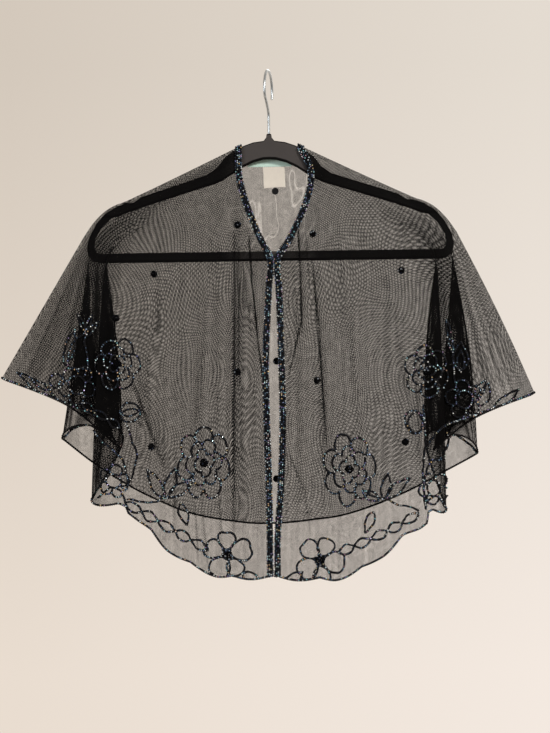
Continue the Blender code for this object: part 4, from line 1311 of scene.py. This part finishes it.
def draw_beads(beads, cloth, path, radius=BEAD_RADIUS, pitch=BEAD_PITCH):
    """Beads sewn along a flat path, laid on the cloth."""
    flat = [Vector(p) for p in path]
    cord = []
    phase = beads.dice.uniform(0.0, math.tau)
    for k, t, goal in even_steps(flat, pitch):
        ahead = flat[k + 1] - flat[k]
        if ahead.length == 0:
            continue
        wander = SEWING_WANDER * (math.sin(goal / 4.3 + phase) + 0.6 * math.sin(goal / 1.9 + 2 * phase))
        here = flat[k].lerp(flat[k + 1], t) + Vector((-ahead[1], ahead[0])).normalized() * wander
        place, normal = cloth.at(here[0], here[1])
        if place is None:
            continue
        if cord and (place - cord[-1]).length > 3 * pitch:
            beads.end_cord(cord)
            cord = []
        cord.append(place + normal * CORD_RADIUS * 0.5)
        along = Vector((ahead[0], 0.0, ahead[1]))
        beads.add(place + normal * (CORD_RADIUS + radius * 0.35), normal, along, radius)
    beads.end_cord(cord)


def smooth_flat(points, count=60):
    """Many points on the smooth curve through a few."""
    return [tuple(smooth_path(points, k / count)) for k in range(count + 1)]


def cluster(beads, place, normal, radius, bead_radius=1.15, rise=1.0):
    """A low dome of beads."""
    across = normal.orthogonal().normalized()
    beside = normal.cross(across)
    rings = [(0.0, 1, 2.6), (0.36, 6, 2.3), (0.68, 11, 1.7), (0.95, 16, 1.0)]
    for reach, count, lift in rings:
        for k in range(count):
            a = math.tau * k / count + reach * 3.0
            spot = place + (across * math.cos(a) + beside * math.sin(a)) * radius * reach
            spot += normal * lift * rise
            ahead = (beside * math.cos(a) - across * math.sin(a)) if count > 1 else across
            beads.add(spot, normal, ahead, bead_radius)


# Labels and hanger

def soft_label(name, sizes, curl, material):
    """A small woven label: a thin sheet that curls forward at its foot and hangs a little askew."""
    left, right, top, bottom, depth = sizes
    bm = bmesh.new()
    bmesh.ops.create_grid(bm, x_segments=24, y_segments=16, size=0.5)
    for vertex in bm.verts:
        across, up = vertex.co.x, vertex.co.y
        down = 0.5 - up
        bend = curl * down ** 2 - 0.25 * math.cos(across * math.tau) * down
        sag = curl * down ** 3 * (0.9 * across - 1.6 * across ** 2)
        vertex.co = Vector((left + (right - left) * (across + 0.5) + 0.6 * curl * down, depth - bend,
                            bottom + (top - bottom) * (up + 0.5) + sag)) * MM
    bmesh.ops.recalc_face_normals(bm, faces=bm.faces)
    thing = thicken(smooth_piece(bm, name, material), LABEL_THICKNESS)
    edge = thing.modifiers.new("soft edge", "BEVEL")
    edge.width = 0.15 * MM
    edge.segments = 2
    edge.limit_method = "ANGLE"
    return thing


def round_tab(material):
    """The round tab: a disc with a raised rim."""
    bm = bmesh.new()
    bmesh.ops.create_cone(bm, cap_ends=True, segments=40, radius1=TAB_RADIUS, radius2=TAB_RADIUS, depth=0.9)
    caps = [face for face in bm.faces if len(face.verts) > 4]
    bmesh.ops.inset_individual(bm, faces=caps, thickness=0.55)
    bmesh.ops.inset_individual(bm, faces=caps, thickness=0.12, depth=-0.18)
    middle = Vector((TAB_MIDDLE_X, CARE_LABEL[4], CARE_LABEL[3] - SEAM_GAP - TAB_RADIUS))
    for vertex in bm.verts:
        vertex.co = (Vector((vertex.co.x, vertex.co.z, vertex.co.y)) + middle) * MM
    bmesh.ops.recalc_face_normals(bm, faces=bm.faces)
    tab = smooth_piece(bm, "round_size_tab", material)
    tab.data.set_sharp_from_angle(angle=math.radians(35))
    return tab


def hook_path(count=150):
    """The wire of the hook, from the hanger up its stem and round its bend."""
    centre_z = HOOK_WIRE / 2 - HOOK_LOOP_RADIUS
    flat = [(0.0, HANGER_TOP_Z + SEAM_GAP), (0.0, HOOK_STEM_TOP_Z - 10), (-1.0, HOOK_STEM_TOP_Z),
            (-11.0, -39.5)]
    for k in range(13):
        angle = math.radians(200 - 222 * k / 12)
        flat.append((HOOK_LOOP_RADIUS * math.cos(angle), centre_z + HOOK_LOOP_RADIUS * math.sin(angle)))
    turn = math.radians(HOOK_TURN_DEG)
    places = []
    for k in range(count + 1):
        reach, height = smooth_path(flat, k / count)
        places.append(Vector((reach * math.cos(turn), reach * math.sin(turn), height)))
    return places


# The garment

net = net_finish()
glass = bead_finish()
jet = black_bead_finish()
thread = thread_finish()
flock = flock_finish()
chrome = chrome_finish()
mint = ribbon_finish("mint_ribbon", colour(0.50, 0.70, 0.62), colour(0.64, 0.84, 0.76), 1400.0, 0.4)
cream = ribbon_finish("cream_tape", colour(0.64, 0.59, 0.52), colour(0.82, 0.76, 0.68), 1100.0, 0.2)
tab_black = tab_finish()

front_rows = row_places(46, 84)
back_rows = row_places(40, 72)

# How far from the ridge a sheet starts, so that the seam gap is kept
seam = SEAM_GAP * 1.2 / (RIDGE_ROUNDNESS * CLOTH_TO_HANGER)

back = Panel("net_back", [(-1, "back", LEFT_BACK), (1, "back", RIGHT_BACK)], BACK_PLEATS, BACK_CREASES,
             pleat_side=1, net_turn=BACK_NET_TURN_DEG, body_dense=0.0, wing_dense=0.16, seed=3)
# The left front's net is set denser than the right's: partly its own look, partly painted shade on the left
# and painted light on the right
left = Panel("net_front_left", [(-1, "front", LEFT_FRONT)], FRONT_PLEATS, FRONT_CREASES,
             pleat_side=-1, net_turn=LEFT_NET_TURN_DEG, body_dense=0.15, wing_dense=0.40, seed=5)
right = Panel("net_front_right", [(1, "front", RIGHT_FRONT)], FRONT_PLEATS, FRONT_CREASES,
              pleat_side=-1, net_turn=RIGHT_NET_TURN_DEG, body_dense=0.05, wing_dense=-0.20, seed=8)
net_back = back.build(back_rows, seam, seam, net)
net_left = left.build(front_rows, seam, 0.0, net)
net_right = right.build(front_rows, seam, 0.0, net)
put_in_scene(net_back)
put_in_scene(net_left)
put_in_scene(net_right)
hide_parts("back_panel")
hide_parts("front_left_panel")
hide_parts("front_right_panel")

cloth = Cloth([back, left, right])

left_line = hem_line(left, 0.5)
right_line = hem_line(right, 0.5)
put_in_scene(hem_thread("back_hem", hem_line(back, 0.4), 1.25, thread))
put_in_scene(hem_thread("front_left_hem", left_line, 1.3, thread))
put_in_scene(hem_thread("front_right_hem", right_line, 1.3, thread))

left_work = Beads("front_left_bead_work", 11)
right_work = Beads("front_right_bead_work", 12)
jets = Beads("bead_dot_clusters", 13)

# What is drawn in beads: where it lies across, which picks the side's piece, and its paths
drawn = [(flower.x, rose_paths(flower)) for flower in ROSES]
drawn += [(flower.x, flower_paths(flower)) for flower in HEM_FLOWERS]
drawn += [(flower.x, ring_flower_paths(flower)) for flower in WING_FLOWERS]
drawn += [(leaf.base_x, leaf_paths(leaf)) for leaf in LEAVES]
drawn += [(path[0][0], [smooth_flat(path)]) for path in TRAILS]
drawn += [(loop.x, [loop_path(loop.x, loop.z, loop.wide, loop.high, 12.0)]) for loop in LOOPS]
drawn += [(chain.path[0][0], chain_paths(chain)) for chain in CHAINS]
for across, paths in drawn:
    for path in paths:
        draw_beads(left_work if across < 0 else right_work, cloth, path)
for beads, line in ((left_work, left_line), (right_work, right_line)):
    hem_path = [place + Vector((0.0, -0.9, 0.5)) for place in line[4:]]
    beads.string(hem_path, HEM_BEAD_RADIUS, HEM_BEAD_PITCH)

for flowers, middle in ((ROSES, ROSE_MIDDLE), (HEM_FLOWERS, HEM_FLOWER_MIDDLE)):
    for flower in flowers:
        cluster(jets, *cloth.at(flower.x, flower.z), *middle)
for x, z, carrier in DOTS:
    cluster(jets, *cloth.at(x, z, -1 if carrier == "front" else 1), DOT_RADIUS)

for beads, side_name in ((left_work, "left"), (right_work, "right")):
    put_in_scene(beads.build(glass))
    put_in_scene(tubes(f"front_{side_name}_couched_cord", beads.cords, thread, sides=1))
dots = put_in_scene(jets.build(jet))
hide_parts(*[f"bead_dot_{k}" for k in range(1, 12)])

for side, name in ((-1, "left"), (1, "right")):
    stations = front_band(side)
    put_in_scene(tape(f"front_{name}_tape", stations, thread))
    beads = Beads(f"front_{name}_band_beads", 20 + side, BAND_LOOSENESS)
    band_beads(beads, stations)
    piece = put_in_scene(beads.build(glass))
    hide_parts(f"front_{name}_neck_band", f"front_{name}_upper_band", f"front_{name}_lower_band")
stations = back_band()
put_in_scene(tape("back_neck_tape", stations, thread))
beads = Beads("back_neck_band_beads", 31, BAND_LOOSENESS)
band_beads(beads, stations)
piece = put_in_scene(beads.build(glass))
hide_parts("back_neck_band")

label = put_in_scene(soft_label("neck_ribbon_label", NECK_LABEL, NECK_LABEL_CURL, mint))
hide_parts("neck_label")
care = put_in_scene(soft_label("care_tape_label", CARE_LABEL, CARE_LABEL_CURL, cream))
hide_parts("care_label")
tab = put_in_scene(round_tab(tab_black))
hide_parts("size_tab")

hook_line = hook_path()
hook = tubes("hook_wire", [(hook_line, [HOOK_WIRE * 0.46] * len(hook_line))], chrome, sides=6)
put_in_scene(hook)
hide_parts("hanger_hook")
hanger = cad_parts["hanger_frame"]
for slot_place in hanger.material_slots:
    slot_place.material = flock

# Floor, light and camera

bm = bmesh.new()
bmesh.ops.create_circle(bm, cap_ends=True, segments=96, radius=1.15)
bmesh.ops.translate(bm, vec=(0.0, 0.0, -1.35), verts=bm.verts)
floor = smooth_piece(bm, "floor", floor_finish())
bpy.context.scene.collection.objects.link(floor)


def area_light(name, place, target, size, power, tint):
    """A square light that looks at a target."""
    lamp = bpy.data.lights.new(name, "AREA")
    lamp.size = size
    lamp.energy = power
    lamp.color = tint
    thing = bpy.data.objects.new(name, lamp)
    thing.location = place
    thing.rotation_euler = (Vector(target) - Vector(place)).to_track_quat("-Z", "Y").to_euler()
    bpy.context.scene.collection.objects.link(thing)


area_light("key", (1.3, -2.0, 1.0), (0.0, 0.0, -0.3), 0.45, 46.0, (1.0, 0.96, 0.90))
area_light("fill", (-1.6, -1.7, 0.3), (0.0, 0.0, -0.35), 0.7, 16.0, (0.93, 0.96, 1.0))
area_light("back", (0.4, 1.9, 0.8), (0.0, 0.0, -0.3), 0.9, 10.0, (1.0, 0.97, 0.93))

world = bpy.data.worlds.new("pale_backdrop")
world.use_nodes = True
bpy.context.scene.world = world
background = world.node_tree.nodes["Background"]
direction = world.node_tree.nodes.new("ShaderNodeTexCoord")
parts = world.node_tree.nodes.new("ShaderNodeSeparateXYZ")
world.node_tree.links.new(direction.outputs["Generated"], parts.inputs[0])


def world_step(source, low, high, to_low, to_high):
    """A straight step of one part of the looking direction."""
    step = world.node_tree.nodes.new("ShaderNodeMapRange")
    for name, value in (("From Min", low), ("From Max", high), ("To Min", to_low), ("To Max", to_high)):
        step.inputs[name].default_value = value
    world.node_tree.links.new(source, step.inputs["Value"])
    return step.outputs[0]


def world_blend(factor, first, second):
    """A colour mixed from two others, which may be mixed themselves."""
    blend = world.node_tree.nodes.new("ShaderNodeMix")
    blend.data_type = "RGBA"
    world.node_tree.links.new(factor, blend.inputs[0])
    for socket, value in ((blend.inputs[6], first), (blend.inputs[7], second)):
        if isinstance(value, tuple):
            socket.default_value = value
        else:
            world.node_tree.links.new(value, socket)
    return blend.outputs[2]


# The backdrop the camera sees is lighter towards the right, painted light falling from that side, and
# lighter towards the bottom
sideways = world_step(parts.outputs["X"], -0.12, 0.12, 0.0, 1.0)
downwards = world_step(parts.outputs["Z"], 0.14, -0.14, 0.0, 1.0)
upper_backdrop = world_blend(sideways, colour(0.655, 0.580, 0.500), colour(0.775, 0.710, 0.635))
lower_backdrop = world_blend(sideways, colour(0.815, 0.720, 0.630), colour(0.900, 0.815, 0.745))
backdrop = world_blend(downwards, upper_backdrop, lower_backdrop)
behind = world_step(parts.outputs["Y"], -0.5, 0.5, 0.0, 1.0)
glow = world_blend(behind, colour(0.22, 0.20, 0.18), backdrop)
seen = world.node_tree.nodes.new("ShaderNodeLightPath").outputs["Is Camera Ray"]
world.node_tree.links.new(world_blend(seen, glow, backdrop), background.inputs["Color"])
background.inputs["Strength"].default_value = 1.0

bpy.context.scene.view_settings.view_transform = "Standard"
bpy.context.scene.cycles.transparent_max_bounces = 24

# The camera, in metres: the height of what it sees, its distance, where it stands and how it tilts
FRAME_HEIGHT = 0.8888
SENSOR_SIZE = 36.0
CAMERA_DISTANCE = 2.6
CAMERA_ACROSS = 0.0035
CAMERA_HEIGHT = -0.3572
CAMERA_TILT_DEG = 0.8
camera_data = bpy.data.cameras.new("camera")
camera_data.lens = SENSOR_SIZE * CAMERA_DISTANCE / FRAME_HEIGHT
camera = bpy.data.objects.new("camera", camera_data)
camera.location = (CAMERA_ACROSS, -CAMERA_DISTANCE, CAMERA_HEIGHT)
camera.rotation_euler = (math.radians(90.0), math.radians(CAMERA_TILT_DEG), 0.0)
bpy.context.scene.collection.objects.link(camera)
bpy.context.scene.camera = camera
